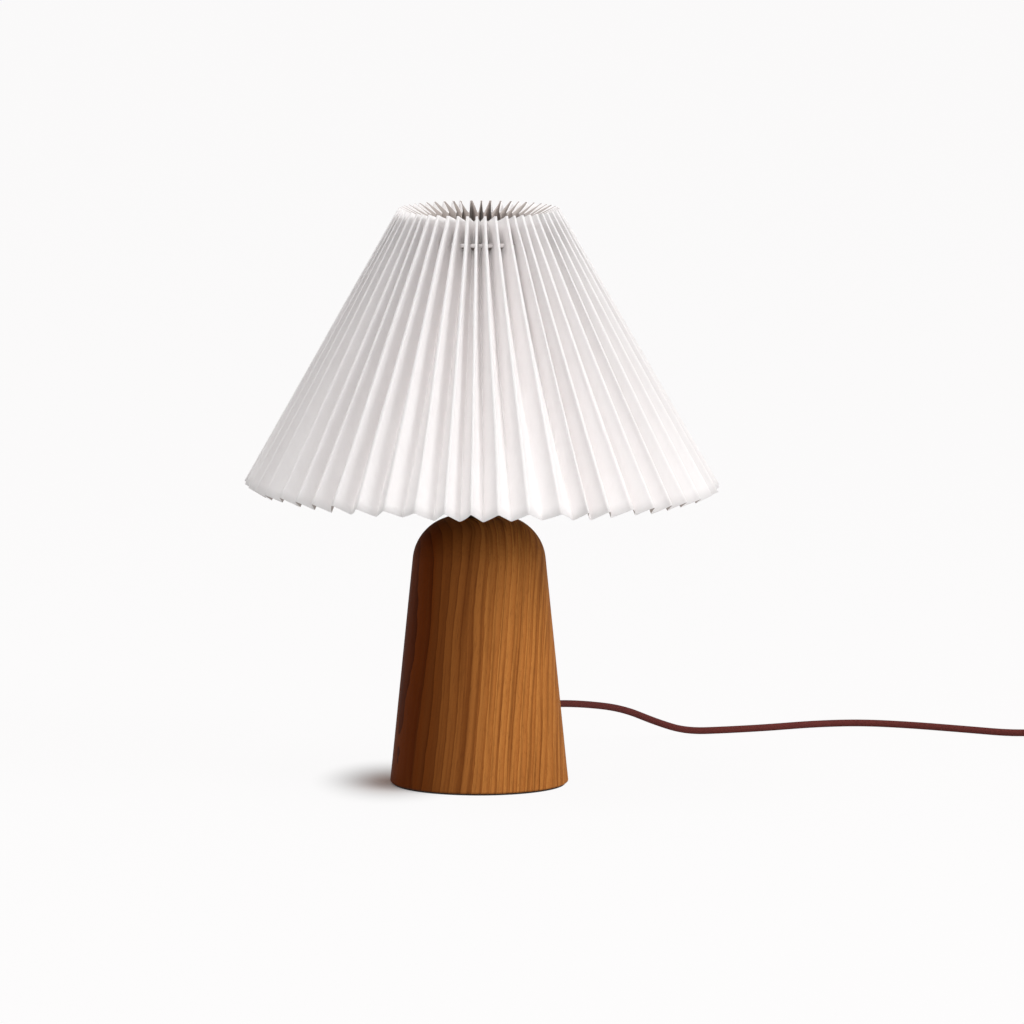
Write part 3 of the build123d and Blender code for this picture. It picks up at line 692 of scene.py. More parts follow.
def open_notches(points):
    """Pulls the lines above and below a notch together towards its ends, so that the slot closes there."""
    closing = ((across_panel[: notch_columns + 1] / across_panel[notch_columns]) ** 3)[:, None]
    for fold in range(0, 2 * pleat_count, 2):
        after = points[:, fold, : notch_columns + 1]
        before = points[:, fold - 1, -notch_columns:]
        for side, share in ((after, closing), (before, closing[notch_columns:0:-1])):
            for edge_row in (notch_row - 1, notch_row + 1):
                side[edge_row] += (side[notch_row] - side[edge_row]) * share
    return points


def strip_faces(rows, columns):
    """The strip's quads, without those inside the notch of each inner fold."""
    step = len(across_panel)
    quads = np.array(grid_faces(rows, columns, wrap_columns=True))
    row = np.repeat(np.arange(rows - 1), columns)
    place = np.tile(np.arange(columns), rows - 1) % (2 * step)
    beside = (place < notch_columns) | (place >= 2 * step - notch_columns)
    return quads[~(beside & (row >= notch_row - 1) & (row <= notch_row))].tolist()


rows = fold_rows()
points = open_notches(strip_points(fold_lines(rows)))
points = points.reshape(len(rows), -1, 3)
shade = mesh_piece("paper_shade", points, strip_faces(len(rows), points.shape[1]), smooth_angle=80.0)
wall = shade.modifiers.new("paper", "SOLIDIFY")
wall.thickness = paper_thickness
wall.offset = -1.0
# the inner side takes the second material: the paper darkened as painted shade
wall.material_offset = 1
dress(shade, "shade", "pleated_shade")
print("shade:", len(shade.data.polygons), "faces, before its thickness")

# %% [markdown]
# ## The wire carrier
#
# A white wire ring sits in the notches of the inner folds. Three straight wires
# carry it from a flat ring that lies on the lampholder's flange.

# %% Carrier ring and legs

wire_radius = 0.0012
wire_height = 0.0017            # half the height of the flattened wire
ring_wider = 0.001              # than the CAD ring, so that it shows in the valleys
ring_higher = 0.0008
leg_radius = 0.0015
leg_foot = 0.0286               # from the axis
weld_sunk = 0.0006
foot_weld, head_weld = 0.5, 0.35     # swelling of the wire, as a share of its radius
weld_tightness = 300.0
ring_radius = ring_high.x - wire_radius
fitter_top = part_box("fitter_ring")[1].z


def wire_ring(name, radius, height, turns=180, sides=14):
    """A torus of flattened wire: radius + wire_radius cos b from the axis, at height + wire_height sin b."""
    a = np.linspace(0, 2 * pi, turns, endpoint=False)[:, None]
    b = np.linspace(0, 2 * pi, sides, endpoint=False)[None]
    reach = radius + wire_radius * np.cos(b)
    level = height + wire_height * np.sin(b) + 0 * a
    points = np.stack([reach * np.cos(a), reach * np.sin(a), level], axis=-1)
    return mesh_piece(name, points, grid_faces(turns, sides, True, True))


def frame_leg(name, azimuth):
    """A straight wire from the fitter ring up to the carrier ring, swelling a little at its two welds."""
    foot = np.array([leg_foot * cos(azimuth), leg_foot * sin(azimuth), fitter_top - weld_sunk])
    head = np.array([ring_radius * cos(azimuth), ring_radius * sin(azimuth), ring_height - weld_sunk])
    share = np.linspace(0, 1, 33)
    at_foot = foot_weld * np.exp(-weld_tightness * share ** 2)
    at_head = head_weld * np.exp(-weld_tightness * (1 - share) ** 2)
    line = foot + share[:, None] * (head - foot)
    return swept(name, line, leg_radius * (1 + at_foot + at_head), up=(-sin(azimuth), cos(azimuth), 0))


leg_count = 3
first_leg = 0.25                # of the way from leg to leg, then moved to the nearest fold
plate_bore, plate_radius, plate_edge = 20.25, 31.0, 0.4
plate_low, plate_high = 255.3, 256.9
dress(wire_ring("carrier_wire", ring_radius + ring_wider, ring_height + ring_higher), "shade", "carrier_ring")
for n in range(leg_count):
    azimuth = radians(360 / pleat_count * round((n + first_leg) * pleat_count / leg_count))
    dress(frame_leg("leg_wire_%d" % n, azimuth), "shade", "frame_legs")
dress(turned("fitter_plate", [
    (plate_bore, plate_low, 0), (plate_radius, plate_low, plate_edge), (plate_radius, plate_high, plate_edge),
    (plate_bore, plate_high, plate_edge),
]), "shade", "fitter_ring")
print("carrier: ring radius", round(ring_radius * 1000, 1), "mm at", round(ring_height * 1000, 1), "mm")

# %% [markdown]
# ## The turned wooden base
#
# A block of oiled wood, turned to a slight taper with a wide rounded shoulder.
# The profile is straight up the side, then an arc that meets the side and the
# small flat top smoothly.

# %% Base

base_radius = 75.0
base_taper = 0.101
base_height = 226.0
shoulder_radius = 39.0
foot_edge = 1.2
felt_thickness = 1.5
cavity_radius, cavity_top = 28.0, 92.0
tube_bore, tube_bore_low = 5.05, 80.0
below_base, above_base, outside_wall = -5.0, 240.0, 80.0     # where the cutting bars end in the open
exit_holes = [(3.8, 5.0), (5.02, 55.75), (7.52, 67.75)]      # radius and start: lead, bush and its flange
wall_at_exit = 69.748


def base_profile(steps=40, side_steps=30, bevel_end=8.0, flat_radius=6.0):
    """(radius, height) in metres: foot, bevel, straight taper, shoulder arc, flat top."""
    tilt = atan(base_taper)
    # the arc's centre is one shoulder radius under the flat top and inside the side
    centre_z = base_height - shoulder_radius
    centre_r = base_radius - base_taper * centre_z - shoulder_radius / cos(tilt)
    angle = np.linspace(tilt, pi / 2, steps)
    arc = np.array([centre_r, centre_z]) + shoulder_radius * np.stack([np.cos(angle), np.sin(angle)], axis=-1)
    foot = base_radius - base_taper * felt_thickness
    side_z = np.linspace(felt_thickness + foot_edge, arc[0, 1], side_steps)[:-1]
    side = np.stack([base_radius - base_taper * side_z, side_z], axis=-1)
    bevel = outline([
        (0, felt_thickness, 0), (foot - foot_edge, felt_thickness, 0.5),
        (foot, felt_thickness + foot_edge, 0.6), (base_radius - base_taper * bevel_end, bevel_end, 0),
    ])[:-1] * 1000
    top = np.array([[flat_radius, base_height], [0.0, base_height]])
    return np.vstack([bevel, side[2:], arc, top]) / 1000


def cutting_bar(radius, start, end, place=lamp_axis, up=(0, 1, 0)):
    """A bar along a place's axis, from one distance to another, in millimetres."""
    ends = onto(np.array([[0, 0, start], [0, 0, end]]) / 1000, place)
    return swept("cutter", ends, radius / 1000, sides=96, up=up)


exit_place = heading_place((0, 0, exit_height), exit_azimuth, lying=True)
base = bored(
    revolved("wood_base", base_profile(), turns=192),
    cutting_bar(cavity_radius, below_base, cavity_top),
    cutting_bar(tube_bore, tube_bore_low, above_base),
    *[cutting_bar(radius, start, outside_wall, exit_place, up=(0, 0, 1)) for radius, start in exit_holes],
)
dress(base, "lamp_base", "wooden_base")
print("base:", len(base.data.polygons), "faces")

# %% [markdown]
# Under the base lies a felt disc, and the cord leaves through a brass bush with a
# grooved nose that keeps it from bending sharply.

# %% Felt and bush

felt_radius, felt_edge = 72.3, 0.5
bush_bore, bush_radius, bush_depth = 3.05, 5.0, 12.0
flange_radius, flange_thickness = 7.5, 2.0
nose_root, nose_tip, nose_end = 5.1, 3.9, 22.0

dress(turned("felt_disc", [
    (0, 0, 0), (felt_radius, 0, felt_edge), (felt_radius, felt_thickness, felt_edge), (0, felt_thickness, 0),
], ring=False, turns=256), "lamp_base", "felt_pad")
bush_start = onto(np.array([[0, 0, (wall_at_exit - flange_thickness) / 1000]]), exit_place)[0]
bush_place = (bush_start, *exit_place[1:])
nose_grooves = ring_grooves(low=4, high=20, pitch=3.2, depth=0.42, beyond=3.2)
dress(turned("exit_bush", [
    (bush_bore, -bush_depth, 0), (bush_radius, -bush_depth, 0.4), (bush_radius, 0, 0), (flange_radius, 0, 0.2),
    (flange_radius, flange_thickness, 0.7), (nose_root, flange_thickness, 0.5), (nose_tip, nose_end, 0.4),
    (bush_bore, nose_end, 0.1),
], turns=96, step=0.0004, ripple=nose_grooves, place=bush_place), "lamp_base", "cord_bush")
print("bush at", round(wall_at_exit, 1), "mm from the axis")

# %% [markdown]
# ## What holds the bulb
#
# A threaded tube runs through the wood. Below, a nut and a washer pull it tight;
# above, it carries the lampholder: a bell-shaped cap, a threaded shell with a
# flange, and inside it the white core with the screw sleeve. The fitter ring of
# the shade lies on the flange under a locking collar.

# %% Tube, nut and lampholder

tube_hole, tube_radius, tube_low, tube_top = 3.9, 5.0, 83.0, 237.0
tube_clear = 5.05               # the hole in what slips over the tube
tube_fit = 5.02                 # the hole in what screws onto it
nut_flats, nut_low, nut_height = 14.0, 85.4, 5.0
washer_radius, washer_low = 14.0, 90.4
neck_radius, neck_top = 16.0, 228.0
cap_radius, flange_low, flange_top = 19.5, 252.0, 255.0
shell_bore, shell_radius, shell_top, holder_flange = 17.1, 19.5, 285.0, 22.5
sleeve_hole, sleeve_radius, sleeve_low, sleeve_top = 13.3, 13.8, 261.0, 282.0
collar_hole, collar_radius, collar_low, collar_top = 19.55, 26.0, 257.2, 268.2
bulb_pitch = 3.63               # of the 27 mm screw thread
tube_thread = screw_thread(tube_low, tube_top, pitch=1.0, depth=0.3, beyond=4.5)

dress(turned("tube_thread", [
    (tube_hole, tube_low, 0), (tube_radius, tube_low, 0.2), (tube_radius, tube_top, 0.2),
    (tube_hole, tube_top, 0),
], turns=32, step=0.00034, ripple=tube_thread), "lamp_base", "threaded_tube")
dress(turned("washer", [
    (tube_clear, washer_low, 0), (washer_radius, washer_low, 0.25), (washer_radius, cavity_top, 0.25),
    (tube_clear, cavity_top, 0.1),
]), "lamp_base", "tube_washer")
neck_disc = dress(turned("neck_disc", [
    (tube_clear, base_height, 0), (neck_radius, base_height, 0.2), (neck_radius, neck_top - 0.8, 0.5),
    (neck_radius - 2, neck_top, 0.3), (tube_clear, neck_top, 0.1),
]), "lamp_base", "neck_washer")


def hexagon_nut(name, flats, bore, low, height, corner_cut=0.6, turns=96):
    """A nut: at angle a its side lies at (flats / 2) / cos(a within a sixth of a turn), cut at both faces."""
    angle = np.linspace(0, 2 * pi, turns, endpoint=False)
    within = (angle + pi / 6) % (pi / 3) - pi / 6
    hexagon = flats / 2 / np.cos(within)
    face = np.minimum(hexagon, flats / 2)
    drop = (hexagon - face) * corner_cut
    high = low + height
    section = [(bore, low), (face, low), (hexagon, low + drop),
               (hexagon, high - drop), (face, high), (bore, high)]
    rings = [np.stack([radius * np.cos(angle), radius * np.sin(angle), level + 0 * angle], axis=-1)
             for radius, level in section]
    return mesh_piece(name, np.array(rings) / 1000, grid_faces(len(section), turns, True, True), 25.0)


dress(hexagon_nut("nut", nut_flats, tube_fit, nut_low, nut_height), "lamp_base", "tube_nut")
dress(turned("holder_bell", [
    (tube_fit, neck_top, 0), (12, neck_top, 1.2), (cap_radius, 240, 3.0), (cap_radius, flange_low, 0.4),
    (cap_radius - 2, flange_low, 0.2), (cap_radius - 2, 241, 2.0), (10, 230, 1.0), (7, 230, 0.3),
    (7, tube_top, 0.2), (tube_fit, tube_top, 0.1),
]), "lamp_base", "holder_cap")
dress(turned("holder_sleeve_shell", [
    (shell_bore, flange_low, 0), (holder_flange, flange_low, 0.5), (holder_flange, flange_top, 0.5),
    (shell_radius, flange_top, 0.3), (shell_radius, shell_top, 0.9), (shell_bore, shell_top, 0.6),
], step=0.0004, ripple=screw_thread(256.5, 284, 2.5, 0.45, 18.5)), "lamp_base", "holder_shell")
dress(turned("screw_sleeve", [
    (sleeve_hole, sleeve_low, 0), (sleeve_radius, sleeve_low, 0.1), (sleeve_radius, sleeve_top, 0.1),
    (sleeve_hole, sleeve_top, 0.1),
], step=0.0004, ripple=screw_thread(262, 282, bulb_pitch, -0.8, 13.0)), "lamp_base", "holder_sleeve")
dress(turned("collar", [
    (collar_hole, collar_low, 0), (collar_radius, collar_low, 0.6), (collar_radius, collar_low + 3, 0.8),
    (22.5, collar_top - 1, 0.8), (21.5, collar_top, 0.4), (collar_hole, collar_top, 0.2),
], turns=288, step=0.0006, ripple=grip_ribs(36, 0.7, 21.8)), "lamp_base", "locking_collar")
print("lampholder: cap, shell, sleeve and collar")

# %% [markdown]
# ## The bulb
#
# An opal globe on a plastic neck, with a screw cap whose round thread rises
# 3.63 millimetres a turn, as every 27 mm screw cap does.

# %% Bulb

bulb_radius = 30.0
bulb_centre = 340.65
globe_low = 324.85
neck_foot = 13.15               # the neck's radius where it leaves the cap
neck_hollow = 0.2
tip_low, cone_low, cap_low, cap_top = 262.65, 264.25, 266.85, 288.85
cap_side = 13.2
cone_edge = 11.8
joint_radius = sqrt(bulb_radius ** 2 - (bulb_centre - globe_low) ** 2)


def globe_corners(count=48):
    """Corners of the globe's profile, from the cut to the top: a circle of bulb_radius round its centre."""
    start = -atan2(bulb_centre - globe_low, joint_radius)
    angle = np.linspace(start, pi / 2, count)
    arc = [(bulb_radius * cos(a), bulb_centre + bulb_radius * sin(a), 0.0) for a in angle[:-1]]
    return [(0, globe_low, 0), *arc, (0, bulb_centre + bulb_radius, 0)]


def neck_corners(count=20):
    """The plastic neck: a hollow flare from the cap to the globe, with a small step under the globe."""
    share = np.linspace(0, 1, count)
    radius = neck_foot + (joint_radius - neck_foot) * (share - neck_hollow * share * (1 - share))
    height = cap_top + share * (globe_low - cap_top)
    flare = [(r, z, 0.0) for r, z in zip(radius[:-2], height[:-2])]
    step = [(joint_radius - inset, globe_low - drop, edge)
            for inset, drop, edge in ((0.9, 1.6, 0.2), (0.9, 1.1, 0.2), (0.05, 0.9, 0.2), (0.05, 0.0, 0.1))]
    return [(0, cap_top, 0), *flare, *step, (0, globe_low, 0)]


dress(turned("globe", globe_corners(), ring=False), "bulb", "bulb_globe")
dress(turned("bulb_neck", neck_corners(), ring=False), "bulb", "bulb_housing")
dress(turned("screw_cap", [
    (0, cap_low, 0), (cone_edge, cap_low, 0.2), (cap_side, cap_low + 1.4, 0.8), (cap_side, cap_top, 0.5),
    (0, cap_top, 0),
], ring=False, step=0.0004, ripple=screw_thread(268, 286.5, bulb_pitch, 0.8, 12.5)), "bulb", "bulb_cap")
dress(turned("glass_cone", [
    (0, cone_low, 0), (5.2, cone_low, 0.3), (cone_edge, cap_low, 0.2), (0, cap_low, 0),
], ring=False), "bulb", "bulb_insulator")
dress(turned("solder_tip", [
    (0, tip_low, 0), (2.4, tip_low, 0.8), (4.2, 263.5, 0.8), (4.2, cone_low, 0.1), (0, cone_low, 0),
], ring=False), "bulb_foot", "bulb_contact")
print("bulb: globe radius", bulb_radius, "mm, joint radius", round(joint_radius, 1), "mm")

# %% [markdown]
# ## Switch, plug and strap
#
# The switch is a bowed case in two halves with a rocking key; the plug is a flat
# moulded body with two round pins; a strap keeps the coil together. Each is a
# stack of outlines, one level on another.

# %% Switch

switch_half_length = switch_length * 500
switch_place = heading_place(beyond(switch_start, switch_heading, switch_length / 2, 0.0), switch_heading)
case_edge = [(2.6, 0.0), (1.6, 0.12), (0.8, 0.45), (0.3, 1.0), (0.0, 2.0)]     # inset and rise of its rounding
case_rise, case_height = 0.2, 17.0
case_wall = 0.0018
tray_floor = 0.002
seam_height, seam_bevel, seam_groove = 0.0085, 0.0003, 0.00025
window_levels = [(11.0, 7.0, 0.017), (10.35, 6.35, 0.0166), (10.3, 6.3, seam_height)]     # half sizes, level
screw_distance = 17.0           # from the middle
screw_hole = 0.00155


def bowed_loop(count=160, end_width=6.5, half_width=13.5, corner=4.0, roundness=2.5):
    """The case from above: sides are arcs, y = half_width - R + sqrt(R^2 - x^2), and the ends are rounded."""
    sagitta = half_width - end_width
    arc_radius = (switch_half_length ** 2 + sagitta ** 2) / (2 * sagitta)
    turn = np.linspace(0, 2 * pi, count, endpoint=False)
    x = switch_half_length * np.cos(turn)
    side = half_width - arc_radius + np.sqrt(arc_radius ** 2 - x ** 2)
    past = np.clip((np.abs(x) - (switch_half_length - corner)) / corner, 0, 1)
    y = np.sign(np.sin(turn)) * side * (1 - past ** roundness) ** (1 / roundness)
    return np.stack([x, y], axis=-1) / 1000


def window_loop(half_length, half_width, count=160, squareness=6.0):
    """A rounded rectangle whose points go round with those of the case: |cos a|^(2/n), |sin a|^(2/n)."""
    turn = np.linspace(0, 2 * pi, count, endpoint=False)
    across = np.sign(np.cos(turn)) * np.abs(np.cos(turn)) ** (2 / squareness)
    up = np.sign(np.sin(turn)) * np.abs(np.sin(turn)) ** (2 / squareness)
    return np.stack([half_length * across, half_width * up], axis=-1) / 1000


case = bowed_loop()
seam_loop = inset_loop(case, seam_groove)
inner_loop = inset_loop(case, case_wall)
tray_layers = [(inset_loop(case, inset / 1000), (case_rise + rise) / 1000) for inset, rise in case_edge]
tray_layers += [(case, seam_height - seam_bevel), (seam_loop, seam_height), (inner_loop, seam_height),
                (inner_loop, tray_floor)]
screw_holes = []
for x in (-screw_distance, screw_distance):
    centre = onto(np.array([[x, 0, 0]]) / 1000, switch_place)[0]
    ends = np.array([centre + (0, 0, -0.002), centre + (0, 0, 0.004)])
    screw_holes.append(swept("cutter", ends, screw_hole, sides=48, up=(0, 1, 0)))
tray = bored(layered("switch_tray", tray_layers, switch_place), *screw_holes)
lid_layers = [(seam_loop, seam_height), (case, seam_height + seam_bevel)]
lid_layers += [(inset_loop(case, inset / 1000), (case_height - rise) / 1000)
               for inset, rise in reversed(case_edge)]
lid_layers += [(window_loop(length, width), level) for length, width, level in window_levels]
lid = layered("switch_lid", lid_layers, switch_place, ring=True)


def rocked(points, swing=radians(-7.0), pivot=0.013):
    """Points of the key, (x, y, height from the pivot), turned about the pivot to where the switch is off."""
    x, y, z = points[..., 0], points[..., 1], points[..., 2]
    return np.stack([x * cos(swing) + z * sin(swing), y, pivot + z * cos(swing) - x * sin(swing)], axis=-1)


key_loop = rounded_loop([
    (-8.8, 0.6, 0.6), (-3.6, -3.2, 0.8), (3.6, -3.2, 0.8), (8.8, 0.6, 0.6), (8.8, 2.6, 0.7), (0, 1.1, 6),
    (-8.8, 2.6, 0.7),
], step=0.0004)
key_edge = [(0.4, -5.8), (0.1, -5.7), (0.0, -5.3)]
key_edge += [(inset, -y) for inset, y in reversed(key_edge)]
key_rings = np.stack([upright(inset_loop(key_loop, inset / 1000), y / 1000) for inset, y in key_edge])
key = mesh_piece("rocker_key", onto(rocked(key_rings), switch_place), stack_faces(*key_rings.shape[:2]))
pin_ends = rocked(np.array([[0, -7.2, 0], [0, 7.2, 0]]) / 1000)
key_pin = swept("rocker_pin", onto(pin_ends, switch_place), 0.0014, sides=32)
dress(tray, "lamp_base", "switch_base")
dress(lid, "lamp_base", "switch_cover")
dress(key, "rocker", "switch_rocker")
dress(key_pin, "rocker", "switch_rocker")
print("switch at", [round(v, 3) for v in switch_place[0]])

# %% Plug

plug_place = heading_place((*plug_start, plug_axis), plug_heading)
plug_lying = heading_place((*plug_start, plug_axis), plug_heading, lying=True)


relief_length = 15.0
waist_length = 19.0
plug_half_width = 13.0
plug_end = 49.0
half_plug = 6.85
plug_edge = [(2.0, 0.0), (1.2, 0.1), (0.55, 0.4), (0.15, 1.0), (0.0, 2.0)]     # inset and rise of its rounding
pin_offset, pin_radius, pin_start, pin_end = 9.3, 2.0, 43.0, 68.0


def plug_loop():
    """The body from above: a waist with finger grooves, y = 6 - 0.036 s + 0.0213 s^2, then straight sides."""
    s = np.linspace(0, waist_length, 64)
    waist = 6 - 0.036 * s + 0.0213 * s ** 2
    grooves = 0.4 * swell(2 * pi * (s - 2.5) / 2.6) * ((s > 2.5) & (s < 12.9))
    lower = [(relief_length + x, y, 0) for x, y in zip(s, -(waist - grooves))]
    lower += [(relief_length + waist_length, -plug_half_width, 0.5), (plug_end, -plug_half_width, 2.5)]
    return rounded_loop([*lower, *[(x, -y, rounding) for x, y, rounding in reversed(lower)]], step=0.0006)


plug_outline = plug_loop()
plug_levels = [(inset, rise - half_plug) for inset, rise in plug_edge]
plug_levels += [(inset, -level) for inset, level in reversed(plug_levels)]
plug_layers = [(inset_loop(plug_outline, inset / 1000), level / 1000) for inset, level in plug_levels]
plug = layered("plug_case", plug_layers, plug_place)
relief = turned("plug_sleeve", [
    (bush_bore, 0, 0), (3.9, 0, 0.3), (5.0, relief_length, 0.2), (bush_bore, relief_length, 0),
], turns=64, step=0.0004, ripple=ring_grooves(1.5, 13.5, 3.0, 0.45, 3.4), place=plug_lying)
dress(plug, "lamp_base", "plug_body")
dress(relief, "lamp_base", "plug_relief")
for side, offset in (("left", pin_offset), ("right", -pin_offset)):
    foot = onto(np.array([[0, offset, 0]]) / 1000, plug_place)[0]
    pin = turned("plug_pin_" + side, [
        (0, pin_start, 0), (pin_radius, pin_start, 0.1), (pin_radius, pin_end, 1.2), (0, pin_end, 0),
    ], ring=False, turns=48, place=(foot, *plug_lying[1:]))
    dress(pin, "lamp_base", "plug_pins")
print("plug at", [round(v, 3) for v in plug_place[0]])

# %% Strap round the coil

strap_low, strap_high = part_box("cord_tie")


def strap_ring(name, thickness=0.0008, corner=3.5, edge=0.0003, shallow=0.0002, deep=0.0006):
    """A band: a rounded rectangle in the upright plane square to the turns, with a thin rounded section."""
    half_x, half_z = (strap_high.x - strap_low.x) * 500, (strap_high.z - strap_low.z) * 500
    corners = [(-half_x, -half_z), (half_x, -half_z), (half_x, half_z), (-half_x, half_z)]
    loop = rounded_loop([(x, z, corner) for x, z in corners], step=0.0012)
    middle = (np.array(strap_low) + np.array(strap_high)) / 2
    half = (strap_high.y - strap_low.y) / 2
    section = [(0, edge - half), (0, half - edge), (shallow, half), (deep, half),
               (thickness, half - edge), (thickness, edge - half), (deep, -half), (shallow, -half)]
    rings = np.stack([upright(inset_loop(loop, inset), y) for inset, y in section])
    return mesh_piece(name, middle + rings, grid_faces(len(section), len(loop), True, True))


strap = dress(strap_ring("coil_strap"), "lamp_base", "cord_tie")
print("strap and cord declared; fine pieces:", len(fine_pieces))

# %% [markdown]
# ## Finishes
#
# A small helper places a shader node, sets or links its inputs by name, and
# returns it, so that each finish below reads from top to bottom.

# %% Node helpers

def linear(red, green, blue):
    """A colour picked as 0 to 255 screen values, as the linear values that a shader works in."""
    screen = np.array([red, green, blue]) / 255.0
    light = np.where(screen <= 0.04045, screen / 12.92, ((screen + 0.055) / 1.055) ** 2.4)
    return (*light.tolist(), 1.0)


def put(tree, kind, inputs=(), **settings):
    """A new node of a kind. Settings are its properties; inputs map its sockets to values or other sockets."""
    node = tree.nodes.new("ShaderNode" + kind)
    for key, value in settings.items():
        setattr(node, key, value)
    for key, value in dict(inputs).items():
        if isinstance(value, bpy.types.NodeSocket):
            tree.links.new(value, node.inputs[key])
        else:
            node.inputs[key].default_value = value
    return node


def calc(tree, operation, a, b=0.0):
    """The result of one sum."""
    return put(tree, "Math", {0: a, 1: b}, operation=operation).outputs[0]


def blend_colours(tree, share, first, second):
    """A colour between two, at a share."""
    return put(tree, "Mix", {0: share, 6: first, 7: second}, data_type="RGBA").outputs[2]


def share_between(tree, value, low, high, first=0.0, last=1.0, **settings):
    """The value's place between low and high, from first to last."""
    return put(tree, "MapRange", {0: value, 1: low, 2: high, 3: first, 4: last}, **settings).outputs[0]


def finish_material(name, **plain):
    """A material with one Principled shader, whose uniform values are set on its own sockets."""
    made = bpy.data.materials.new(name)
    made.use_nodes = True
    shader = made.node_tree.nodes["Principled BSDF"]
    for key, value in plain.items():
        shader.inputs[key.replace("_", " ")].default_value = value
    return made, made.node_tree, shader


def noise(tree, vector, scale, detail=3.0, roughness=0.5):
    """A noise value of about one blob per 1 / scale metres."""
    inputs = {"Vector": vector, "Scale": scale, "Detail": detail, "Roughness": roughness}
    return put(tree, "TexNoise", inputs).outputs[0]


def stretched(tree, vector, scale, turn=(0.0, 0.0, 0.0)):
    """The coordinates, turned and then scaled along each axis."""
    turned_vector = put(tree, "Mapping", {"Vector": vector, "Rotation": turn}).outputs[0]
    return put(tree, "Mapping", {"Vector": turned_vector, "Scale": scale}).outputs[0]


def ramp(tree, value, *stops):
    """A colour ramp with (position, colour) stops."""
    node = put(tree, "ValToRGB", {0: value})
    while len(node.color_ramp.elements) < len(stops):
        node.color_ramp.elements.new(0.5)
    for element, (position, colour) in zip(node.color_ramp.elements, stops):
        element.position = position
        element.color = colour
    return node.outputs[0]


def wear(piece, material):
    """Puts a finish on a piece, or on a CAD node."""
    piece.data.materials.clear()
    piece.data.materials.append(material)


# %% [markdown]
# Small unevenness is on every real surface: cloudy changes of tone, and fine
# pits or fibres that scatter the light. One node group makes both, from object
# coordinates, and each finish uses it with its own sizes.

# %% Unevenness group

def socket(group, name, way, kind="NodeSocketFloat", value=None):
    made = group.interface.new_socket(name=name, in_out=way, socket_type=kind)
    if value is not None:
        made.default_value = value


def build_unevenness():
    """A group: cloud and speck values, and a normal bumped by the specks."""
    group = bpy.data.node_groups.new("unevenness", "ShaderNodeTree")
    socket(group, "Cloud scale", "INPUT", value=20.0)
    socket(group, "Speck scale", "INPUT", value=900.0)
    socket(group, "Depth", "INPUT", value=0.00005)
    socket(group, "Cloud", "OUTPUT")
    socket(group, "Speck", "OUTPUT")
    socket(group, "Normal", "OUTPUT", "NodeSocketVector")
    inside = group.nodes.new("NodeGroupInput")
    outside = group.nodes.new("NodeGroupOutput")
    where = put(group, "TexCoord").outputs["Object"]
    cloud = noise(group, where, inside.outputs["Cloud scale"])
    speck = noise(group, where, inside.outputs["Speck scale"], detail=2.0)
    bump = put(group, "Bump", {"Height": speck, "Distance": inside.outputs["Depth"], "Strength": 0.6})
    group.links.new(cloud, outside.inputs["Cloud"])
    group.links.new(speck, outside.inputs["Speck"])
    group.links.new(bump.outputs[0], outside.inputs["Normal"])
    return group


unevenness = build_unevenness()


def uneven(tree, cloud_scale, speck_scale, depth):
    """Places the unevenness group with its own sizes."""
    node = put(tree, "Group", node_tree=unevenness)
    node.inputs["Cloud scale"].default_value = cloud_scale
    node.inputs["Speck scale"].default_value = speck_scale
    node.inputs["Depth"].default_value = depth
    return node


def plain_finish(name, first, second, roughness, metallic=0.0, cloud_scale=30.0, speck_scale=1500.0,
                 depth=0.00003, spread=0.06):
    """A finish of two close tones, with a cloudy roughness and a fine bump."""
    made, tree, shader = finish_material(name, Metallic=metallic)
    rough = uneven(tree, cloud_scale, speck_scale, depth)
    cloud = rough.outputs["Cloud"]
    tree.links.new(blend_colours(tree, cloud, linear(*first), linear(*second)), shader.inputs["Base Color"])
    clouded = share_between(tree, cloud, 0.3, 0.7, roughness - spread, roughness + spread)
    tree.links.new(clouded, shader.inputs["Roughness"])
    tree.links.new(rough.outputs["Normal"], shader.inputs["Normal"])
    return made


print("node groups:", [group.name for group in bpy.data.node_groups])

# %% [markdown]
# ### Oiled wood
#
# The growth rings of the block are nearly upright sheets, so the turned side
# shows long lines that lean a little to the right. Rings are bands across the
# block, bent by slow noise. Pores are short dark streaks along the grain, which
# is noise that is squeezed across and stretched along. The block was cut where
# dark heartwood meets paler wood, and the dark side is painted darker still, as
# painted shade of the left side, so its left is much darker than its right.

# %% Oiled wood

grain_turn = (radians(1.5), radians(-5.8), radians(-15.0))
pale_wood = [(0.0, (188, 122, 60)), (0.8, (172, 106, 50)), (1.0, (148, 87, 38))]     # place in a ring, tone
# heartwood tones, made darker than the wood itself as painted shade of the left side
dark_wood_and_shade = [(0.0, (100, 44, 8)), (0.8, (84, 34, 6)), (1.0, (67, 25, 4))]
fine_ring_tone = (104, 54, 20)
fibre_tone = (88, 42, 16)
pore_tone = (70, 32, 12)


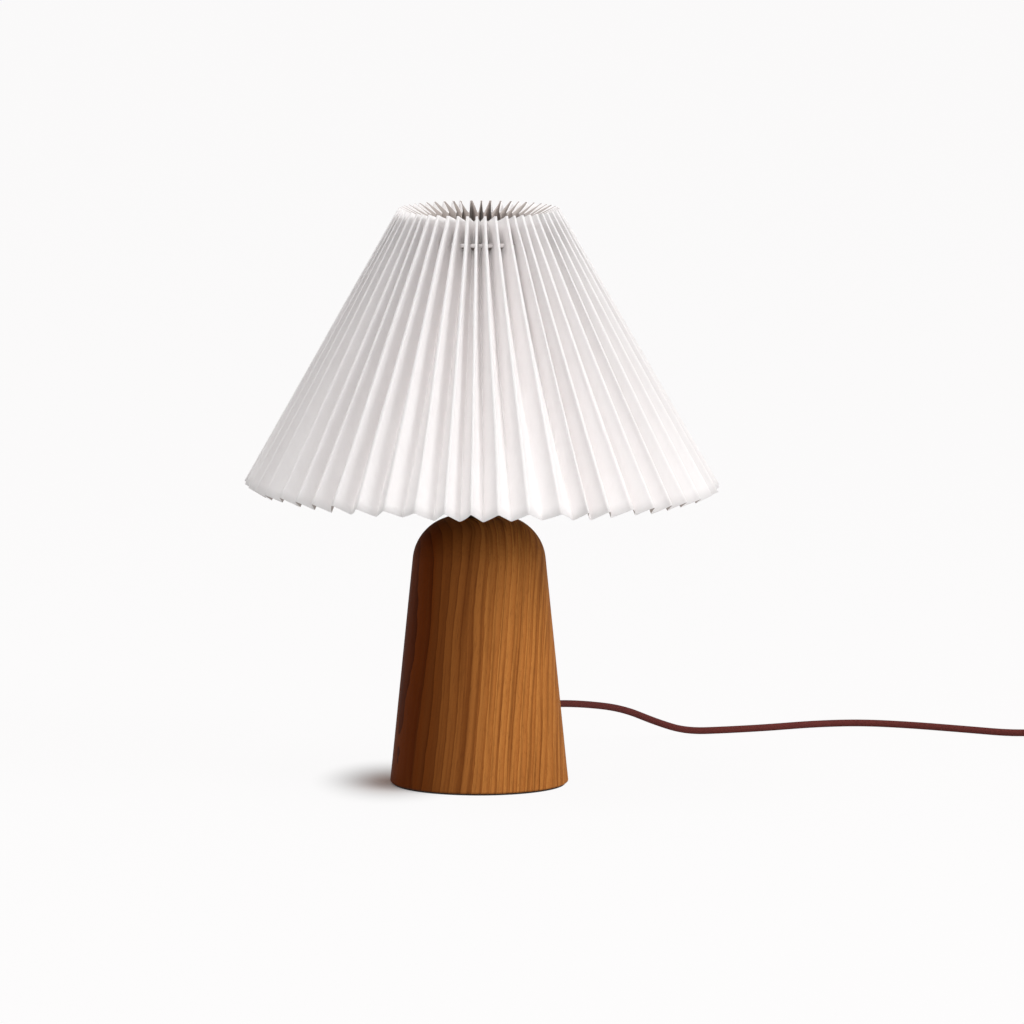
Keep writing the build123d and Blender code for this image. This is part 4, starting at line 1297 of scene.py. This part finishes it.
def oiled_wood():
    """Bent rings as upright sheets, pale on the right and dark on the left as heartwood and painted shade,
    with fibres and pores.
    """
    made, tree, shader = finish_material("oiled_wood", Specular_IOR_Level=0.02)
    where = put(tree, "TexCoord").outputs["Object"]
    leaned = stretched(tree, where, (1.0, 1.0, 1.0), grain_turn)
    slow_place = stretched(tree, leaned, (1, 1, 0.2))
    slow = put(tree, "TexNoise", {"Vector": slow_place, "Scale": 15.0, "Detail": 2.0}).outputs[1]
    offset = put(tree, "VectorMath", {0: slow, 1: (0.5, 0.5, 0.5)}, operation="SUBTRACT").outputs[0]
    bend = put(tree, "VectorMath", {0: offset, "Scale": 0.02}, operation="SCALE").outputs[0]
    bent = put(tree, "VectorMath", {0: leaned, 1: bend}, operation="ADD").outputs[0]
    waves = {"Vector": bent, "Scale": 46.0, "Distortion": 0.8, "Detail": 2.0, "Detail Scale": 1.2}
    rings = put(tree, "TexWave", waves, wave_type="BANDS", bands_direction="X", wave_profile="SAW").outputs[1]
    fine_rings = noise(tree, stretched(tree, bent, (330, 40, 3)), 1.0, 2.0, 0.5)
    broad = noise(tree, stretched(tree, bent, (70, 20, 1.5)), 1.0, 1.0)
    pores = noise(tree, stretched(tree, leaned, (1500, 1500, 28)), 1.0, 3.0, 0.6)
    fibres = noise(tree, stretched(tree, leaned, (600, 600, 10)), 1.0, 4.0, 0.6)
    pale, dark = (ramp(tree, rings, *[(place, linear(*tone)) for place, tone in stops])
                  for stops in (pale_wood, dark_wood_and_shade))
    across = put(tree, "SeparateXYZ", {0: bent}).outputs[0]
    # the left turns to the dark tones: heartwood, darkened further as painted shade
    wavering = calc(tree, "ADD", across, calc(tree, "MULTIPLY", broad, 0.026))
    paler = share_between(tree, wavering, -0.054, -0.002)
    tone = blend_colours(tree, paler, dark, pale)
    for value, low, high, most, darker in (
        (fine_rings, 0.5, 0.66, 0.55, fine_ring_tone), (fibres, 0.5, 0.3, 0.22, fibre_tone),
        (pores, 0.56, 0.68, 0.3, pore_tone),
    ):
        tone = blend_colours(tree, share_between(tree, value, low, high, 0.0, most), tone, linear(*darker))
    tree.links.new(tone, shader.inputs["Base Color"])
    tree.links.new(share_between(tree, fibres, 0.3, 0.7, 0.52, 0.64), shader.inputs["Roughness"])
    height = calc(tree, "ADD", calc(tree, "MULTIPLY", fibres, 0.6), calc(tree, "MULTIPLY", pores, -0.5))
    bump = put(tree, "Bump", {"Height": height, "Distance": 0.00012, "Strength": 0.5})
    tree.links.new(bump.outputs[0], shader.inputs["Normal"])
    return made


# %% [markdown]
# ### Paper
#
# Stiff matt paper with a soft fibre structure. It lets light through to the
# shaded side, which subsurface scattering of more than its thickness imitates.
# Its inner side, seen on the rear tips and at the lower edge, is a darker warm
# grey: the same paper, darkened as painted shade of the inside.

# %% Paper

def white_paper(name, bright, dim, fibre_tone, through):
    """Two cloudy tones under fibres of a third, letting through a share of the light."""
    made, tree, shader = finish_material(
        name, Subsurface_Weight=through, Subsurface_Radius=(0.004, 0.0038, 0.0036), Subsurface_Scale=1.0,
        Specular_IOR_Level=0.2)
    rough = uneven(tree, 45.0, 700.0, 0.00006)
    where = put(tree, "TexCoord").outputs["Object"]
    fibres = noise(tree, stretched(tree, where, (260, 260, 30)), 1.0, 4.0, 0.65)
    tone = blend_colours(tree, rough.outputs["Cloud"], linear(*bright), linear(*dim))
    tone = blend_colours(tree, share_between(tree, fibres, 0.45, 0.75, 0.0, 0.2), tone, linear(*fibre_tone))
    tree.links.new(tone, shader.inputs["Base Color"])
    tree.links.new(share_between(tree, fibres, 0.0, 1.0, 0.75, 0.95), shader.inputs["Roughness"])
    height = calc(tree, "ADD", rough.outputs["Speck"], fibres)
    bump = put(tree, "Bump", {"Height": height, "Distance": 0.00008, "Strength": 0.35})
    tree.links.new(bump.outputs[0], shader.inputs["Normal"])
    return made


print("wood and paper ready")

# %% [markdown]
# ### Braided textile
#
# The cord's cover is braided from dark red-brown threads: two families of
# threads wind round it in opposite turns and pass over and under each other.
# Two slanted waves on the UV map give the two families, and the higher of the
# two is the thread on top. Where both are low, in the gaps, the tone is darker,
# as painted shade.

# %% Textile cord

threads_round = 8
braid_pitch = 0.0072
# dark in the gaps between the threads, as painted shade, up to the tone of the threads' tops
gap_shade_to_top_tones = [(0.0, (46, 16, 14)), (0.5, (122, 56, 50))]     # from the gaps to the tops of the threads
crossing_tone = (150, 82, 74)
fuzz_tone = (70, 24, 22)
patch_tone = (90, 38, 35)


def textile_cord():
    """Two crossing families of threads on the UV map, darker in the gaps as painted shade, with fuzz
    and faint patches.
    """
    made, tree, shader = finish_material("textile_cord", Specular_IOR_Level=0.15)
    parts = put(tree, "SeparateXYZ", {0: put(tree, "UVMap", uv_map="braid").outputs[0]})
    round_it = calc(tree, "MULTIPLY", parts.outputs[0], 2 * pi * threads_round)
    along_it = calc(tree, "MULTIPLY", parts.outputs[1], 2 * pi * threads_round / braid_pitch)
    right = calc(tree, "SINE", calc(tree, "ADD", round_it, along_it))
    left = calc(tree, "SINE", calc(tree, "SUBTRACT", round_it, along_it))
    height = calc(tree, "MAXIMUM", right, left)
    crossing = calc(tree, "MULTIPLY", right, left)
    where = put(tree, "TexCoord").outputs["Object"]
    fuzz = noise(tree, where, 2600.0, 2.0)
    patches = noise(tree, where, 60.0, 2.0)
    stops = [(place, linear(*tone)) for place, tone in gap_shade_to_top_tones]
    tone = ramp(tree, calc(tree, "MULTIPLY", height, 0.5), *stops)
    for value, low, high, most, other in (
        (crossing, 0.0, 1.0, 0.5, crossing_tone), (fuzz, 0.4, 0.7, 0.5, fuzz_tone),
        (patches, 0.4, 0.7, 0.3, patch_tone),
    ):
        tone = blend_colours(tree, share_between(tree, value, low, high, 0.0, most), tone, linear(*other))
    tree.links.new(tone, shader.inputs["Base Color"])
    shader.inputs["Roughness"].default_value = 0.85
    bump = put(tree, "Bump", {"Height": height, "Distance": 0.0003, "Strength": 0.6})
    tree.links.new(bump.outputs[0], shader.inputs["Normal"])
    return made


# %% [markdown]
# ### Small fittings
#
# The rest are short finishes: painted wire, brass, brass darkened as painted
# shade for the neck disc, zinc-plated steel, black and dark plastics, the white
# core, the opal diffuser and felt.

# %% Small finishes

# bright tone, dim tone, roughness and how metallic
small_finishes = {
    "white_wire": ((242, 238, 237), (236, 231, 230), 0.45, 0.0),
    "brass": ((206, 168, 96), (184, 142, 74), 0.32, 1.0),
    "brass_darkened_as_shade": ((74, 50, 28), (54, 35, 20), 0.5, 1.0),
    "zinc_steel": ((188, 190, 192), (164, 166, 168), 0.35, 1.0),
    "black_plastic": ((34, 33, 32), (26, 25, 25), 0.42, 0.0),
    "white_core": ((236, 235, 230), (226, 225, 220), 0.25, 0.0),
    "opal_diffuser": ((246, 244, 238), (240, 238, 232), 0.35, 0.0),
    "bulb_metal": ((206, 206, 208), (186, 186, 190), 0.3, 1.0),
    "dark_plastic": ((58, 40, 36), (46, 32, 29), 0.38, 0.0),
}
finishes = {name: plain_finish(name, *values) for name, values in small_finishes.items()}
finishes["dark_felt"] = plain_finish(
    "dark_felt", (62, 54, 48), (44, 38, 34), 0.95, speck_scale=2600.0, depth=0.0004)
finishes["textile_cord"] = textile_cord()
finishes["oiled_wood"] = oiled_wood()
finishes["white_paper"] = white_paper("white_paper", (246, 242, 241), (241, 236, 235), (231, 225, 224), 0.4)
# the paper's inner side: the same paper in darker, warmer tones, as painted shade of the inside
finishes["paper_inside_shade"] = white_paper("paper_inside_shade", (186, 176, 171), (178, 168, 163), (168, 158, 153), 0.15)
for piece in fine_pieces:
    wear(piece, finishes[piece["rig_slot"]])
# the neck disc, seen between the shade's tips, wears brass darkened as painted shade
wear(neck_disc, finishes["brass_darkened_as_shade"])
shade.data.materials.append(finishes["paper_inside_shade"])
for name, node in nodes.items():
    if not node.hide_render:
        wear(node, finishes[slot_of[name]])
print("finishes:", len(finishes), "on", len(fine_pieces), "fine pieces")

# %% [markdown]
# ## Floor and light
#
# The photograph has a white ground without a horizon, and soft light from the
# right. The floor is a light table: its own white hides the soft shadow of the
# shade, except round the foot of the base, where the sheet is opaque and takes
# the shadow of the base. There the sheet is a mid grey, a painted deepening of
# that shadow, and warmer close to the foot, as painted bounce light from the
# wood. For the light itself it is a plain pale floor.

# %% Floor

floor_height = -0.0002          # a hair below the felt, so that the two never share a plane
floor_corners = [(-30, -20), (30, -20), (30, 60), (-30, 60)]
opaque_centre = (-0.075, 0.01, 0.0)       # left of the foot, where its shadow falls
opaque_scale = (1.0, 0.5, 1.0)
opaque_reach = 0.070
far_share = 0.05                # of the lit sheet that still shows far away
# round the foot the sheet is a mid grey that deepens the base's shadow, as painted shade, and turns warm close
# to the foot, as painted bounce light from the wood
warm_bounce_reach = 0.052
shadow_deepening_grey = (0.65, 0.65, 0.65, 1)
warm_bounce_tone = (0.63, 0.50, 0.45, 1)
own_white, own_strength = (252, 251, 251), 1.02
real_tone = (0.68, 0.68, 0.68, 1)

floor_mesh = bpy.data.meshes.new("floor")
floor_mesh.from_pydata([(x, y, floor_height) for x, y in floor_corners], [], [(0, 1, 2, 3)])
floor = bpy.data.objects.new("floor", floor_mesh)
bpy.context.scene.collection.objects.link(floor)


def seen_directly(tree):
    """1 for camera, mirror and glass rays, else 0."""
    path = put(tree, "LightPath")
    seen = calc(tree, "MAXIMUM", path.outputs["Is Camera Ray"], path.outputs["Is Glossy Ray"])
    return calc(tree, "MAXIMUM", seen, path.outputs["Is Transmission Ray"])


def floor_finish():
    """For the camera: lit grey paper near the foot, deepening the shadow as painted shade and warm at the
    foot as painted bounce light, blending into its own white. For the light: a pale floor.
    """
    made = bpy.data.materials.new("pale_floor")
    made.use_nodes = True
    tree = made.node_tree
    tree.nodes.clear()
    where = put(tree, "TexCoord").outputs["Object"]
    apart = put(tree, "VectorMath", {0: where, 1: opaque_centre}, operation="SUBTRACT").outputs[0]
    squeezed = put(tree, "VectorMath", {0: apart, 1: opaque_scale}, operation="MULTIPLY").outputs[0]
    distance = put(tree, "VectorMath", {0: squeezed}, operation="LENGTH").outputs[1]
    opaque = share_between(tree, distance, 0.0, opaque_reach, 1.0, far_share, interpolation_type="SMOOTHSTEP")
    # warm near the foot as painted bounce light, over a grey that deepens the shadow as painted shade
    near = share_between(tree, distance, 0.0, warm_bounce_reach, 1.0, 0.0, interpolation_type="SMOOTHSTEP")
    lit = put(tree, "BsdfDiffuse", {"Color": blend_colours(tree, near, shadow_deepening_grey, warm_bounce_tone)})
    own = put(tree, "Emission", {"Color": linear(*own_white), "Strength": own_strength})
    shown = put(tree, "MixShader", {0: opaque, 1: own.outputs[0], 2: lit.outputs[0]})
    real = put(tree, "BsdfDiffuse", {"Color": real_tone})
    mixed = put(tree, "MixShader", {0: seen_directly(tree), 1: real.outputs[0], 2: shown.outputs[0]})
    out = put(tree, "OutputMaterial")
    tree.links.new(mixed.outputs[0], out.inputs[0])
    return made


wear(floor, floor_finish())
print("floor ready")

# %% Light

def soft_lamp(name, place, aim, size, power):
    """A square soft lamp that looks at a point."""
    data = bpy.data.lights.new(name, "AREA")
    data.shape = "SQUARE"
    data.size = size
    data.energy = power
    lamp = bpy.data.objects.new(name, data)
    bpy.context.scene.collection.objects.link(lamp)
    lamp.location = place
    lamp.rotation_euler = (Vector(aim) - Vector(place)).to_track_quat("-Z", "Y").to_euler()
    return lamp


soft_lamp("key", place=(2.9, -1.9, 2.3), aim=(0, 0, 0.25), size=1.9, power=94)
soft_lamp("top", place=(-0.7, -0.9, 3.4), aim=(0, 0, 0.4), size=2.2, power=46)
soft_lamp("front", place=(-0.6, -5.0, 1.6), aim=(0, 0, 0.35), size=2.2, power=42)

world_strength = 0.45
world = bpy.data.worlds.new("studio")
bpy.context.scene.world = world
world.use_nodes = True
sky = world.node_tree
background = sky.nodes["Background"]
background.inputs[0].default_value = (1, 1, 1, 1)
background.inputs[1].default_value = world_strength

view = bpy.context.scene.view_settings
view.view_transform = "Standard"
print("lights: key, top, front and an even world")
